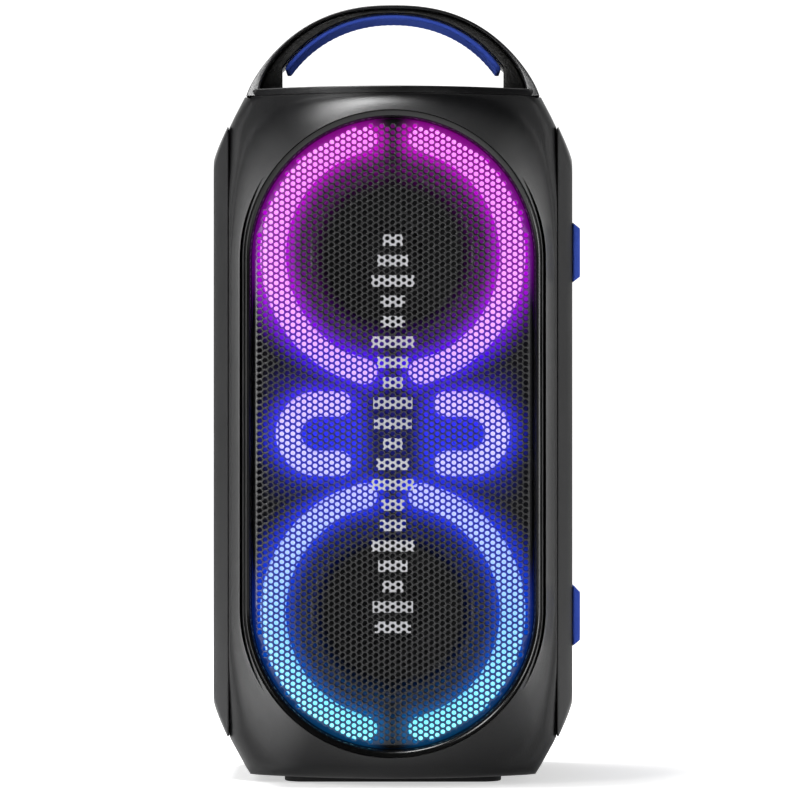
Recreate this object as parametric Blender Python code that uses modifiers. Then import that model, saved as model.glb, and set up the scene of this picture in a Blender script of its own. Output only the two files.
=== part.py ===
"""Party speaker: a tall portable cabinet with two woofers behind a stadium-shaped grille.

Frame: +Z up, the front looks along -Y, the origin is the centre of the foot's underside.
Sizes are written in millimetres and turned into metres where meshes and places are made.
"""

import math

import bmesh
import bpy
from mathutils import Matrix, Vector

MM = 0.001
GAP = 0.3  # clearance kept between pieces that touch

# Cabinet outline, seen from the front: an upright octagon with a low top and bottom chamfer
BODY_HALF_W = 100.0
TOP_Z = 416.5
TOP_HALF_W = 90.3
SHOULDER_Z = 399.0
HEEL_Z = 26.0
BASE_Z = 4.0
BASE_HALF_W = 87.0
WALL = 3.0

# Cabinet depth
RIM_Y = -107.5
EDGE_Y = -95.0  # front edge of the outline at the middle of the top and the base
EDGE_SWEEP = 0.0045  # how fast that edge falls back towards the sides, per mm
SPLIT_Y = -40.0  # joint between the front frame and the rear cover
BACK_Y = 107.5

# Stadium opening in the front
MID_Z = 211.8
STADIUM_L = 104.7  # half the length of its straight sides
RIM_R = 88.2
THROAT_R = 84.3
THROAT_Y = -101.3
FRAME_TAIL_Y = -84.0

# Grille, lights, boards and baffle, front to back
GRILLE_Y = (-103.2, -102.0)
GRILLE_R = 84.0
LIGHT_Y = (-100.6, -96.4)
LED_Y = (-96.1, -94.5)
BAFFLE_Y = (-94.2, -89.7)
BAFFLE_R = 83.9

# Lights: strokes with round ends along arcs and C shapes
STROKE_W = 15.3
RING_MID_R = 71.85
RING_TIP_X = 9.3
C_MID_R = 17.85
C_X = 44.7
C_ARM = 12.45
DRIVER_DZ = 107.1  # each woofer's height from the middle of the opening

# Handle arch: superellipses seen from the front
ARCH_OUT = {"a": 105.4, "z0": 331.0, "top": 474.5, "n": 2.35}
ARCH_IN = {"a": 83.5, "z0": 383.0, "top": 469.4, "n": 2.1}
GRIP_IN = {"a": 78.8, "z0": 383.0, "top": 466.2, "n": 2.1}
HAND_HALF_W = 70.0
ARCH_HALF_DEPTH = 30.0
ARCH_FLARE = 32.0
DECK_Z = (TOP_Z + GAP, 421.0)
GRIP_END_Z = 434.0
GRIP_HALF_DEPTH = 27.0

# Control panel and buttons on the deck
PANEL_HALF = (60.0, 22.0)
PANEL_TOP_Z = 422.0
BUTTON_NAMES = ("power", "pairing", "volume_down", "play", "volume_up", "light", "bass")
BUTTON_PITCH = 16.5
BUTTON_R = 6.5
BUTTON_Z = (413.6, 423.4)
BOARD_WINDOW = (64.0, 26.0)  # half sizes of the opening under the panel
TWEETER_R = 9.7

# Side panels and pads
SIDE_PANEL_X = (BODY_HALF_W + GAP, 110.0)
SIDE_PANEL_Y = (-48.0, 84.0)
SIDE_PANEL_Z = (26.0, 399.0)
SIDE_PANEL_CHAMFER_Z = 23.5
SIDE_PANEL_CHAMFER_Y = 14.0
PAD_X = (SIDE_PANEL_X[1] + GAP, 115.0)
PAD_Y = (-35.0, 60.0)
PAD_LENGTH = 36.5
PAD_CENTRES_Z = {"lower": 99.5, "upper": 322.5}

# Back of the cabinet
BACK_ROUND = 12.0  # how far the rounded edge of the back reaches in, and forward
PORT_Z = 352.0
PORT_R = (22.0, 25.0)
PORT_FLANGE_R = 32.0
PORT_FRONT_Y = 22.0
BAY_Z = 80.0
BAY_HALF = (53.0, 20.5)
BAY_WALL = 2.0
BAY_BACK_Y = 84.0
HINGE_Y = 106.0
HINGE_Z = 62.0
HINGE_PIN_R = 0.75
HINGE_BORE_R = 0.85
HINGE_BARREL_R = 1.4
FLAP_Y = (104.8, 107.3)

TURN_STEPS = 28
INNER_STEPS = 16
ARC_STEPS = 12  # segments in a quarter circle of the stadium


def clear_scene():
    for old in list(bpy.data.objects):
        bpy.data.objects.remove(old, do_unlink=True)


def new_collection(name, hidden=False):
    group = bpy.data.collections.new(name)
    group.hide_render = hidden
    bpy.context.scene.collection.children.link(group)
    return group


clear_scene()
SPEAKER = new_collection("party_speaker")
CUTTERS = new_collection("cutters", hidden=True)


def plastic(name, colour, roughness, metallic=0.0):
    """A Principled material of one colour, given in linear RGB."""
    mat = bpy.data.materials.new(name)
    mat.use_nodes = True
    shader = mat.node_tree.nodes["Principled BSDF"]
    shader.inputs["Base Color"].default_value = (*colour, 1.0)
    shader.inputs["Roughness"].default_value = roughness
    shader.inputs["Metallic"].default_value = metallic
    mat.diffuse_color = (*colour, 1.0)
    return mat


BLACK_ABS = plastic("black_abs", (0.013, 0.013, 0.014), 0.45)
DARK_ABS = plastic("dark_abs", (0.008, 0.008, 0.009), 0.6)
BLUE_TPU = plastic("blue_tpu", (0.02, 0.06, 0.55), 0.5)
RUBBER = plastic("black_rubber", (0.01, 0.01, 0.01), 0.8)
STEEL_SHEET = plastic("black_steel_sheet", (0.01, 0.01, 0.012), 0.4, 0.6)
DIFFUSER = plastic("milky_diffuser", (0.85, 0.8, 0.95), 0.3)
PCB = plastic("circuit_board", (0.01, 0.08, 0.03), 0.4)
PAPER = plastic("coated_paper", (0.012, 0.012, 0.013), 0.75)
DARK_STEEL = plastic("dark_steel", (0.05, 0.05, 0.055), 0.4, 0.9)
FERRITE = plastic("ferrite", (0.02, 0.02, 0.022), 0.55)
COPPER = plastic("copper_winding", (0.6, 0.25, 0.1), 0.35, 0.9)
CLOTH = plastic("spider_cloth", (0.35, 0.2, 0.06), 0.9)
ALUMINIUM = plastic("aluminium", (0.6, 0.6, 0.62), 0.35, 1.0)
BATTERY_WRAP = plastic("battery_wrap", (0.02, 0.03, 0.06), 0.4)
WIRE = plastic("wire_sleeve", (0.25, 0.01, 0.01), 0.5)


def place(obj, mat, cutter=False):
    """Puts an object in its collection with its material, and marks a cutter as one."""
    (CUTTERS if cutter else SPEAKER).objects.link(obj)
    if mat:
        obj.data.materials.append(mat)
    if cutter:
        obj.hide_render = True
        obj.display_type = "WIRE"
    return obj


def mesh_object(name, bm, mat, at=(0, 0, 0), cutter=False, smooth=None):
    """Turns a bmesh drawn in millimetres into an object whose origin is at a place in millimetres."""
    bmesh.ops.scale(bm, vec=(MM, MM, MM), verts=bm.verts)
    mesh = bpy.data.meshes.new(name)
    bm.to_mesh(mesh)
    bm.free()
    if smooth is not None:
        mesh.shade_smooth()
        mesh.set_sharp_from_angle(angle=math.radians(smooth))
    obj = place(bpy.data.objects.new(name, mesh), mat, cutter)
    obj.location = Vector(at) * MM
    return obj


def bevel(obj, width, segments=2, angle=40):
    mod = obj.modifiers.new("round_edges", "BEVEL")
    mod.width = width * MM
    mod.segments = segments
    mod.limit_method = "ANGLE"
    mod.angle_limit = math.radians(angle)


def box(name, low, high, mat, round_edges=0.0, cutter=False, at=None):
    """A box between two corners. Its origin is its centre, or the place named by at."""
    low, high = Vector(low), Vector(high)
    centre = (low + high) / 2
    origin = Vector(at) if at else centre
    bm = bmesh.new()
    bmesh.ops.create_cube(bm, size=1.0)
    bmesh.ops.scale(bm, vec=high - low, verts=bm.verts)
    bmesh.ops.translate(bm, vec=centre - origin, verts=bm.verts)
    obj = mesh_object(name, bm, mat, origin, cutter)
    if round_edges:
        bevel(obj, round_edges)
    return obj


def cylinder(name, radius, low, high, axis, mat, steps=24, cutter=False):
    """A cylinder along a row axis, X, Y or Z, from one point to another in millimetres."""
    low, high = Vector(low), Vector(high)
    turns = {"X": Matrix.Rotation(math.pi / 2, 3, "Y"), "Y": Matrix.Rotation(math.pi / 2, 3, "X")}
    bm = bmesh.new()
    bmesh.ops.create_cone(
        bm, cap_ends=True, segments=steps, radius1=radius, radius2=radius, depth=(high - low).length
    )
    if axis in turns:
        bmesh.ops.rotate(bm, cent=(0, 0, 0), matrix=turns[axis], verts=bm.verts)
    return mesh_object(name, bm, mat, (low + high) / 2, cutter, smooth=30)


def cut(obj, *tools, operation="DIFFERENCE"):
    for tool in tools:
        mod = obj.modifiers.new("cut_" + tool.name, "BOOLEAN")
        mod.operation = operation
        mod.object = tool
        mod.solver = "EXACT"


def outline_curve(name, loops, depth, mat, facing="Y", at=(0, 0, 0), cutter=False):
    """A flat outline, drawn as loops of 2D points in mm, extruded to a depth about its own plane.

    Facing Y, the points are (x, z). Facing Z, they are (x, y). Facing X, they are (y, z).
    """
    curve = bpy.data.curves.new(name, "CURVE")
    curve.dimensions = "2D"
    curve.fill_mode = "BOTH"
    curve.extrude = depth / 2 * MM
    for loop in loops:
        spline = curve.splines.new("POLY")
        spline.points.add(len(loop) - 1)
        for point, (u, v) in zip(spline.points, loop):
            point.co = (u * MM, v * MM, 0, 1)
        spline.use_cyclic_u = True
    obj = place(bpy.data.objects.new(name, curve), mat, cutter)
    turns = {"X": (math.pi / 2, 0, math.pi / 2), "Y": (math.pi / 2, 0, 0), "Z": (0, 0, 0)}
    obj.rotation_euler = turns[facing]
    obj.location = Vector(at) * MM
    return obj


def as_mesh(curve_obj, cutter=False):
    """The same solid as a mesh, so that it takes Booleans, with the caps welded to the sides."""
    bpy.context.view_layer.update()
    graph = bpy.context.evaluated_depsgraph_get()
    name = curve_obj.name
    mesh = bpy.data.meshes.new_from_object(curve_obj.evaluated_get(graph))
    bm = bmesh.new()
    bm.from_mesh(mesh)
    bmesh.ops.remove_doubles(bm, verts=bm.verts, dist=0.01 * MM)
    bmesh.ops.recalc_face_normals(bm, faces=bm.faces)
    bm.to_mesh(mesh)
    bm.free()
    world = curve_obj.matrix_world.copy()
    bpy.data.objects.remove(curve_obj, do_unlink=True)
    mesh.name = name
    obj = place(bpy.data.objects.new(name, mesh), None, cutter)
    obj.matrix_world = world
    return obj


def turned(name, profile, mat, at, steps, along="Y", closed=True):
    """A turned piece. Its profile is (radius, height) pairs in mm; heights point to the front (-Y) or up."""
    bm = bmesh.new()
    verts = [bm.verts.new((r, 0, h)) for r, h in profile]
    for first, second in zip(verts, verts[1:]):
        bm.edges.new((first, second))
    if closed:
        bm.edges.new((verts[-1], verts[0]))
    obj = mesh_object(name, bm, mat, at)
    if along == "Y":
        obj.rotation_euler = (math.pi / 2, 0, 0)
    screw = obj.modifiers.new("turn", "SCREW")
    screw.steps = steps
    screw.render_steps = steps
    screw.use_merge_vertices = True
    screw.merge_threshold = 0.00001
    screw.use_smooth_shade = True
    return obj


def loft(rings, cap_first=False, cap_last=False, close=False):
    """A skin through rings of equally many points; close joins the last ring to the first."""
    bm = bmesh.new()
    rows = [[bm.verts.new(point) for point in ring] for ring in rings]
    pairs = list(zip(rows, rows[1:]))
    if close:
        pairs.append((rows[-1], rows[0]))
    count = len(rows[0])
    for first, second in pairs:
        for i in range(count):
            j = (i + 1) % count
            bm.faces.new((first[i], first[j], second[j], second[i]))
    if cap_first:
        bm.faces.new(reversed(rows[0]))
    if cap_last:
        bm.faces.new(rows[-1])
    bmesh.ops.recalc_face_normals(bm, faces=bm.faces)
    return bm


def stadium(radius, steps=ARC_STEPS):
    """Points (x, z) round an upright stadium, counter-clockwise seen from the front."""
    points = []
    for centre, start in ((MID_Z + STADIUM_L, 0.0), (MID_Z - STADIUM_L, math.pi)):
        for i in range(2 * steps + 1):
            angle = start + math.pi * i / (2 * steps)
            points.append((radius * math.cos(angle), centre + radius * math.sin(angle)))
    return points


# ---------------------------------------------------------------- cabinet shells


def octagon(inset=0.0):
    """Corners of the cabinet's outline, counter-clockwise from the right side's foot, moved inwards."""
    corners = [
        (BODY_HALF_W, HEEL_Z),
        (BODY_HALF_W, SHOULDER_Z),
        (TOP_HALF_W, TOP_Z),
        (-TOP_HALF_W, TOP_Z),
        (-BODY_HALF_W, SHOULDER_Z),
        (-BODY_HALF_W, HEEL_Z),
        (-BASE_HALF_W, BASE_Z),
        (BASE_HALF_W, BASE_Z),
    ]
    if not inset:
        return [Vector(c) for c in corners]
    moved = []
    for i, corner in enumerate(corners):
        here = Vector(corner)
        before = (here - Vector(corners[i - 1])).normalized()
        after = (Vector(corners[(i + 1) % len(corners)]) - here).normalized()
        inward = Vector((-before.y - after.y, before.x + after.x)).normalized()
        moved.append(here + inward * inset / inward.dot(Vector((-after.y, after.x))))
    return moved


def ray_to_outline(centre_z, angle, corners):
    """Where a ray from (0, centre_z) at an angle meets the cabinet's outline."""
    heading = Vector((math.cos(angle), math.sin(angle)))
    start = Vector((0.0, centre_z))
    for i, first in enumerate(corners):
        side = corners[(i + 1) % len(corners)] - first
        cross = heading.x * side.y - heading.y * side.x
        if abs(cross) < 1e-9:
            continue
        rel = first - start
        reach = (rel.x * side.y - rel.y * side.x) / cross
        along = (rel.x * heading.y - rel.y * heading.x) / cross
        if reach > 0 and -1e-9 <= along <= 1 + 1e-9:
            return start + heading * reach
    raise ValueError("the ray misses the outline")


def corner_angles(centre_z, start):
    """Angles of the arc's rays: an even spread, moved so that the outline's own corners are hit."""
    angles = [start + math.pi * i / (2 * ARC_STEPS) for i in range(2 * ARC_STEPS + 1)]
    for corner in octagon():
        rel = corner - Vector((0.0, centre_z))
        if rel.y * math.sin(start + math.pi / 2) <= 0 or abs(rel.y) > 110:
            continue
        exact = math.atan2(rel.y, rel.x) % math.tau
        nearest = min(range(len(angles)), key=lambda k: abs(angles[k] - exact))
        angles[nearest] = exact
    return sorted(angles)


def frame_ring(blend, y_of, inset=0.0, radius=RIM_R):
    """A ring between the stadium of a radius (blend 0) and the outline moved inwards (blend 1)."""
    ring = []
    corners = octagon(inset)
    for centre_z, start in ((MID_Z + STADIUM_L, 0.0), (MID_Z - STADIUM_L, math.pi)):
        for angle in corner_angles(centre_z, start):
            arc = Vector((0, centre_z)) + radius * Vector((math.cos(angle), math.sin(angle)))
            edge = ray_to_outline(centre_z, angle, corners)
            x, z = arc.lerp(edge, blend)
            ring.append((x, y_of(x, blend), z))
    return ring


def edge_y(x):
    """How far forward the outline's front edge stands at a distance from the middle."""
    return EDGE_Y + EDGE_SWEEP * x * x


def crown_y(x, blend):
    """The front skin: flat at the rim, falling back to the outline's edge."""
    return RIM_Y + (edge_y(x) - RIM_Y) * blend**1.8


def front_frame():
    tube_outer = THROAT_R + WALL
    flat = lambda y: (lambda x, blend: y)
    rings = [
        frame_ring(0, flat(FRAME_TAIL_Y), radius=THROAT_R),
        frame_ring(0, flat(THROAT_Y), radius=THROAT_R),
        frame_ring(0, flat(RIM_Y + 0.4)),
        frame_ring(0.06, lambda x, blend: RIM_Y),
        frame_ring(0.3, crown_y),
        frame_ring(0.55, crown_y),
        frame_ring(0.8, crown_y),
        frame_ring(1, crown_y),
        frame_ring(1, flat(SPLIT_Y)),
        frame_ring(1, flat(SPLIT_Y), inset=WALL),
        frame_ring(1, lambda x, blend: edge_y(x) + WALL, inset=WALL),
        frame_ring(0.4, lambda x, blend: crown_y(x, blend) + WALL, inset=WALL, radius=tube_outer),
        frame_ring(0, flat(THROAT_Y + WALL), radius=tube_outer),
        frame_ring(0, flat(FRAME_TAIL_Y), radius=tube_outer),
    ]
    return mesh_object("front_frame", loft(rings, close=True), BLACK_ABS, smooth=35)


def rear_ring(inset, y):
    return [(c.x, y, c.y) for c in octagon(inset)]


def rear_cover():
    """A tub open to the front: its skin runs from the back's middle over the rim to the inside."""
    rings = [
        rear_ring(BACK_ROUND, BACK_Y),
        rear_ring(0.3 * BACK_ROUND, BACK_Y - 0.3 * BACK_ROUND),
        rear_ring(0, BACK_Y - BACK_ROUND),
        rear_ring(0, SPLIT_Y + GAP),
        rear_ring(WALL, SPLIT_Y + GAP),
        rear_ring(WALL, BACK_Y - BACK_ROUND - 1),
        rear_ring(BACK_ROUND - 1, BACK_Y - WALL),
    ]
    cover = mesh_object("rear_cover", loft(rings, cap_first=True, cap_last=True), BLACK_ABS)
    half_x, half_z = BAY_HALF[0] + BAY_WALL + GAP, BAY_HALF[1] + BAY_WALL + GAP
    near, far = BACK_Y - BACK_ROUND, BACK_Y + 5
    bay_hole = box(
        "bay_hole", (-half_x, near, BAY_Z - half_z), (half_x, far, BAY_Z + half_z), None, cutter=True
    )
    port_hole = cylinder(
        "port_hole", PORT_R[1] + 2 * GAP, (0, near, PORT_Z), (0, far, PORT_Z), "Y", None, cutter=True
    )
    half_x, half_y = BOARD_WINDOW
    board_window = box(
        "board_window", (-half_x, -half_y, TOP_Z - 8), (half_x, half_y, TOP_Z + 5), None, cutter=True
    )
    cut(cover, bay_hole, port_hole, board_window)


def side_panel(name, side):
    """A raised cover, a tub open towards the cabinet; side is 1 on the right and -1 on the left."""
    corner = 5.0
    skin = 2.5

    def ring(x, in_y, in_z):
        low_y, high_y = SIDE_PANEL_Y[0] + in_y, SIDE_PANEL_Y[1] - in_y
        low_z, high_z = SIDE_PANEL_Z[0] + in_z, SIDE_PANEL_Z[1] - in_z
        flat = [
            (high_y, low_z + corner),
            (high_y, high_z - corner),
            (high_y - corner, high_z),
            (low_y + corner, high_z),
            (low_y, high_z - corner),
            (low_y, low_z + corner),
            (low_y + corner, low_z),
            (high_y - corner, low_z),
        ]
        return [(side * x, y, z) for y, z in flat]

    near, far = SIDE_PANEL_X
    knee = far - 2.5
    knee_y, knee_z = 0.62 * SIDE_PANEL_CHAMFER_Y, 0.62 * SIDE_PANEL_CHAMFER_Z
    rings = [
        ring(far, SIDE_PANEL_CHAMFER_Y, SIDE_PANEL_CHAMFER_Z),
        ring(knee, knee_y, knee_z),
        ring(near, 0, 0),
        ring(near, skin, skin),
        ring(knee - skin, knee_y + skin, knee_z + skin),
        ring(far - skin, SIDE_PANEL_CHAMFER_Y + skin, SIDE_PANEL_CHAMFER_Z + skin),
    ]
    return mesh_object(name, loft(rings, cap_first=True, cap_last=True), BLACK_ABS)


def pad(name, centre_z):
    """A rubber pad with chamfered ends, on the right side panel."""
    half = PAD_LENGTH / 2
    near, far = PAD_X
    slope, edge = 3.5, 1.0
    profile = [
        (near, centre_z - half),
        (far - edge, centre_z - half + slope),
        (far, centre_z - half + slope + edge),
        (far, centre_z + half - slope - edge),
        (far - edge, centre_z + half - slope),
        (near, centre_z + half),
    ]
    outline_curve(name, [profile], PAD_Y[1] - PAD_Y[0], BLUE_TPU, at=(0, sum(PAD_Y) / 2, 0))


# ---------------------------------------------------------------- handle, deck and controls


def arch_points(curve, low_z, steps, limit=None):
    """Points (x, z) of a superellipse arch from its right foot at low_z over the top to its left foot."""
    rise = curve["top"] - curve["z0"]
    power = 2 / curve["n"]
    start = math.asin(((low_z - curve["z0"]) / rise) ** (1 / power))
    points = []
    for i in range(steps + 1):
        angle = start + (math.pi - 2 * start) * i / steps
        x = math.copysign(abs(math.cos(angle)) ** power, math.cos(angle)) * curve["a"]
        z = curve["z0"] + rise * math.sin(angle) ** power
        if limit:
            x = max(-limit, min(limit, x))
        points.append((x, z))
    return points


def handle_frame():
    """The deck and the fixed arch: the arch's front outline, cut to its side outline, joined to the deck."""
    foot_z = DECK_Z[0]
    outer = arch_points(ARCH_OUT, foot_z, 32)
    inner = arch_points(ARCH_IN, foot_z, 28, HAND_HALF_W)
    arch = as_mesh(outline_curve("arch", [outer + inner[::-1]], 160, None, cutter=True), cutter=True)

    def half_depth(z):
        return ARCH_HALF_DEPTH + ARCH_FLARE * max(0, (ARCH_OUT["top"] - z) / 57.5) ** 2.2

    heights = [foot_z - 5 + 63 * i / 14 for i in range(15)]
    front = [(-half_depth(z), z) for z in heights]
    rear = [(half_depth(z), z) for z in reversed(heights)]
    side = as_mesh(
        outline_curve("arch_side", [front + rear], 240, None, facing="X", cutter=True), cutter=True
    )
    cut(arch, side, operation="INTERSECT")

    edge = TOP_HALF_W
    xs = [-edge + 2 * edge * i / 16 for i in range(17)]
    plan = [(x, edge_y(x)) for x in xs]
    plan += [(edge, BACK_Y - 22), (edge - 10, BACK_Y - 12), (-edge + 10, BACK_Y - 12), (-edge, BACK_Y - 22)]
    thick = DECK_Z[1] - DECK_Z[0]
    deck = as_mesh(
        outline_curve("handle_frame", [plan], thick, BLACK_ABS, facing="Z", at=(0, 0, sum(DECK_Z) / 2))
    )
    half_x, half_y = PANEL_HALF
    window = box(
        "panel_window",
        (-half_x - GAP, -half_y - GAP, DECK_Z[0] - 5),
        (half_x + GAP, half_y + GAP, DECK_Z[1] + 5),
        None,
        cutter=True,
    )
    cut(deck, arch, operation="UNION")
    cut(deck, window)


def handle_grip():
    """The grip's front outline follows the arch with a gap, and its long edges are rounded."""
    outer = [(x * 0.993, z - 2 * GAP) for x, z in arch_points(ARCH_IN, GRIP_END_Z, 24)]
    inner = arch_points(GRIP_IN, GRIP_END_Z + 1.5, 24)
    grip = as_mesh(outline_curve("handle_grip", [outer + inner[::-1]], 2 * GRIP_HALF_DEPTH, BLUE_TPU))
    bevel(grip, 0.8, segments=1, angle=60)


def control_panel():
    """The key plate: a body in the deck's window and a wider flange that holds it from below."""
    half_x, half_y = PANEL_HALF
    plate = box(
        "control_panel", (-half_x, -half_y, TOP_Z - 2), (half_x, half_y, PANEL_TOP_Z), DARK_ABS
    )
    flange = box(
        "panel_flange",
        (-half_x - 3, -half_y - 3, TOP_Z - 2),
        (half_x + 3, half_y + 3, TOP_Z),
        None,
        cutter=True,
    )
    cut(plate, flange, operation="UNION")
    for name, x in button_places():
        hole = cylinder(
            name + "_hole", BUTTON_R + GAP, (x, 0, TOP_Z - 10), (x, 0, TOP_Z + 15), "Z", None, cutter=True
        )
        cut(plate, hole)


def button_places():
    middle = (len(BUTTON_NAMES) - 1) / 2
    return [(name, (i - middle) * BUTTON_PITCH) for i, name in enumerate(BUTTON_NAMES)]


def buttons():
    low, high = BUTTON_Z
    height = high - low
    profile = [(0, height), (BUTTON_R - 2, height), (BUTTON_R - 0.6, height - 0.4)]
    profile += [(BUTTON_R, height - 1.2), (BUTTON_R, 0), (0, 0)]
    for name, x in button_places():
        turned("button_" + name, profile, RUBBER, (x, 0, low), INNER_STEPS, along="Z", closed=False)
    half_x, half_y = BOARD_WINDOW
    box("button_board", (2 - half_x, 2 - half_y, 410.2), (half_x - 2, half_y - 2, 411.8), PCB)


# ---------------------------------------------------------------- front: grille, lights, baffle


def circle(radius, x, z, steps=32, clockwise=False):
    turn = -1 if clockwise else 1
    angles = [turn * math.tau * i / steps for i in range(steps)]
    return [(x + radius * math.cos(a), z + radius * math.sin(a)) for a in angles]


def plate_between(name, loops, span, mat):
    """A flat plate facing the front, between two depths."""
    return outline_curve(name, loops, span[1] - span[0], mat, at=(0, sum(span) / 2, 0))


def stroke(path, width):
    """The outline of a line of a width with round ends, drawn along the points of a path."""
    half = width / 2
    path = [Vector(p) for p in path]
    left, right = [], []
    for i, point in enumerate(path):
        ahead = path[min(i + 1, len(path) - 1)] - path[max(i - 1, 0)]
        normal = Vector((-ahead.y, ahead.x)).normalized() * half
        left.append(point + normal)
        right.append(point - normal)

    def round_end(centre, first):
        arm = first - centre
        turns = [math.pi * k / 8 for k in range(1, 8)]
        return [centre + Matrix.Rotation(-t, 2) @ arm for t in turns]

    outline = left + round_end(path[-1], left[-1]) + right[::-1] + round_end(path[0], right[0])
    return [tuple(p) for p in outline]


def arc(centre_x, centre_z, radius, first, last, steps):
    angles = [first + (last - first) * i / steps for i in range(steps + 1)]
    return [(centre_x + radius * math.cos(a), centre_z + radius * math.sin(a)) for a in angles]


def front_lights():
    tip = math.asin((RING_TIP_X + STROKE_W / 2) / RING_MID_R)
    for level, centre_z in driver_places():
        for name, facing in (("left", math.pi), ("right", 0.0)):
            reach = math.pi / 2 - tip
            path = arc(0, centre_z, RING_MID_R, facing - reach, facing + reach, 20)
            plate_between(f"{level}_light_{name}", [stroke(path, STROKE_W)], LIGHT_Y, DIFFUSER)
        board = [circle(RING_MID_R + 8.4, 0, centre_z, 48), circle(RING_MID_R - 8.8, 0, centre_z, 48)]
        plate_between(f"{level}_led_board", board, LED_Y, PCB)
    for name, side in (("left", -1), ("right", 1)):
        x = side * C_X
        turn = arc(0, 0, C_MID_R, -math.pi / 2, math.pi / 2, 12)
        path = [(-C_ARM, -C_MID_R)] + turn + [(-C_ARM, C_MID_R)]
        path = [(x + side * u, MID_Z + v) for u, v in path]
        if side < 0:
            path = path[::-1]
        plate_between(f"centre_light_{name}", [stroke(path, STROKE_W)], LIGHT_Y, DIFFUSER)
    half_x, half_z = C_X + 26.5, 25.4
    corners = [(half_x, MID_Z - half_z), (half_x, MID_Z + half_z)]
    corners += [(-half_x, MID_Z + half_z), (-half_x, MID_Z - half_z)]
    holes = [circle(TWEETER_R + GAP, side * C_X, MID_Z, 24) for side in (-1, 1)]
    plate_between("centre_led_board", [corners] + holes, LED_Y, PCB)


def grille_and_baffle():
    plate_between("grille", [stadium(GRILLE_R)], GRILLE_Y, STEEL_SHEET)
    holes = [circle(53, 0, centre_z, 40) for _, centre_z in driver_places()]
    holes += [circle(TWEETER_R + GAP, side * C_X, MID_Z, 24) for side in (-1, 1)]
    plate_between("baffle", [stadium(BAFFLE_R)] + holes, BAFFLE_Y, DARK_ABS)


# ---------------------------------------------------------------- drivers

# Heights in a driver are measured forward from the baffle's front face


def driver_places():
    return [("upper", MID_Z + DRIVER_DZ), ("lower", MID_Z - DRIVER_DZ)]


CONE_SKIN = 1.2
SURROUND_SKIN = 0.8
ROLL_R, ROLL_HALF_W = 47.2, 4.3
ROLL_FOOT, ROLL_SEAT, ROLL_RISE = -0.9, 3.5, 5.4  # heights of its inner and outer foot, and its arch
COIL_R = (13.3, 14.0)
BASKET_WINDOWS = 4


def woofer(level, centre_z):
    """One driver, from its basket's flange on the baffle back to its magnet."""
    at = (0, BAFFLE_Y[0], centre_z)

    def ring(name, profile, mat, steps=INNER_STEPS, closed=True):
        return turned(f"woofer_{level}_{name}", profile, mat, at, steps, closed=closed)

    basket = ring(
        "basket",
        [(50, 2.4), (62, 2.4), (62, 0.3), (52, 0.3), (50.5, -8), (37, -36), (37, -42)]
        + [(14.8, -42), (14.8, -38), (34.5, -38), (34.5, -36), (48, -8), (49, 0.3)],
        DARK_STEEL,
    )
    for i in range(BASKET_WINDOWS):
        window = box(
            f"window_{level}_{i}", (-16, BAFFLE_Y[0] + 10, 20), (16, BAFFLE_Y[0] + 34, 60),
            None, cutter=True, at=(0, BAFFLE_Y[0], 0),
        )
        window.location = Vector(at) * MM
        window.rotation_euler = (0, math.tau * (i + 0.5) / BASKET_WINDOWS, 0)
        cut(basket, window)
    ring("magnet", [(20, -42.3), (40, -42.3), (40, -58), (20, -58)], FERRITE)
    ring("yoke", [(0, -40), (12.6, -40), (12.6, -58.3), (36, -58.3), (36, -64), (0, -64)],
         DARK_STEEL, closed=False)
    inner, outer = COIL_R
    ring("voice_coil", [(inner, -16), (outer, -16), (outer, -50), (inner, -50)], COPPER)
    ring("spider", [(14.4, -24.6), (20, -23.4), (25, -25.8), (30, -23.4), (36.5, -24.6)]
         + [(36.5, -25.4), (30, -24.2), (25, -26.6), (20, -24.2), (14.4, -25.4)], CLOTH)
    cone = [(14.3, -15.4), (24, -11.0), (34, -6.6), (42.6, -2.4)]
    ring("cone", cone + [(r, h - CONE_SKIN) for r, h in reversed(cone)], PAPER, TURN_STEPS)
    ring("surround", surround_profile(), RUBBER, TURN_STEPS)
    dome = [math.pi / 2 * i / 4 for i in range(5)]
    cap = [(18.5 * math.sin(a), -12.9 + 6.6 * math.cos(a)) for a in dome]
    ring("dust_cap", cap + [(17.3, -12.9)] + [(r * 0.93, h - 0.9) for r, h in cap[3::-1]], PAPER,
         TURN_STEPS, closed=False)


def surround_profile():
    """A half roll: its inner foot hangs lower, on the cone's edge, and its outer foot is on the flange."""
    top, under = [], []
    for i in range(5):
        turn = math.pi * i / 4
        height = ROLL_FOOT + (ROLL_SEAT - ROLL_FOOT) * i / 4 + ROLL_RISE * math.sin(turn)
        top.append((ROLL_R - ROLL_HALF_W * math.cos(turn), height))
        inner_half_w = ROLL_HALF_W - SURROUND_SKIN
        under.append((ROLL_R - inner_half_w * math.cos(turn), height - SURROUND_SKIN))
    lip_r, seat_r = 40.5, 54.5
    lip_h = ROLL_FOOT - 1.2
    top = [(lip_r, lip_h)] + top + [(seat_r, ROLL_SEAT)]
    under = [(lip_r, lip_h - SURROUND_SKIN)] + under + [(seat_r, ROLL_SEAT - SURROUND_SKIN)]
    return top + under[::-1]


def tweeter(name, side):
    at = (side * C_X, BAFFLE_Y[0], MID_Z)
    rim, lip = TWEETER_R, TWEETER_R - 1.6
    cup = [(0, 1), (lip, 1), (lip, 4.8), (rim, 4.8), (rim, -12), (0, -12)]
    turned(f"tweeter_{name}_housing", cup, DARK_ABS, at, INNER_STEPS, closed=False)
    dome = [math.pi / 2 * i / 4 for i in range(5)]
    shape = [(7 * math.sin(a), 1.3 + 2.8 * math.cos(a)) for a in dome]
    turned(f"tweeter_{name}_dome", shape + [(0, 1.3)], PAPER, at, INNER_STEPS, closed=False)


# ---------------------------------------------------------------- back of the cabinet and its inside


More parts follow.
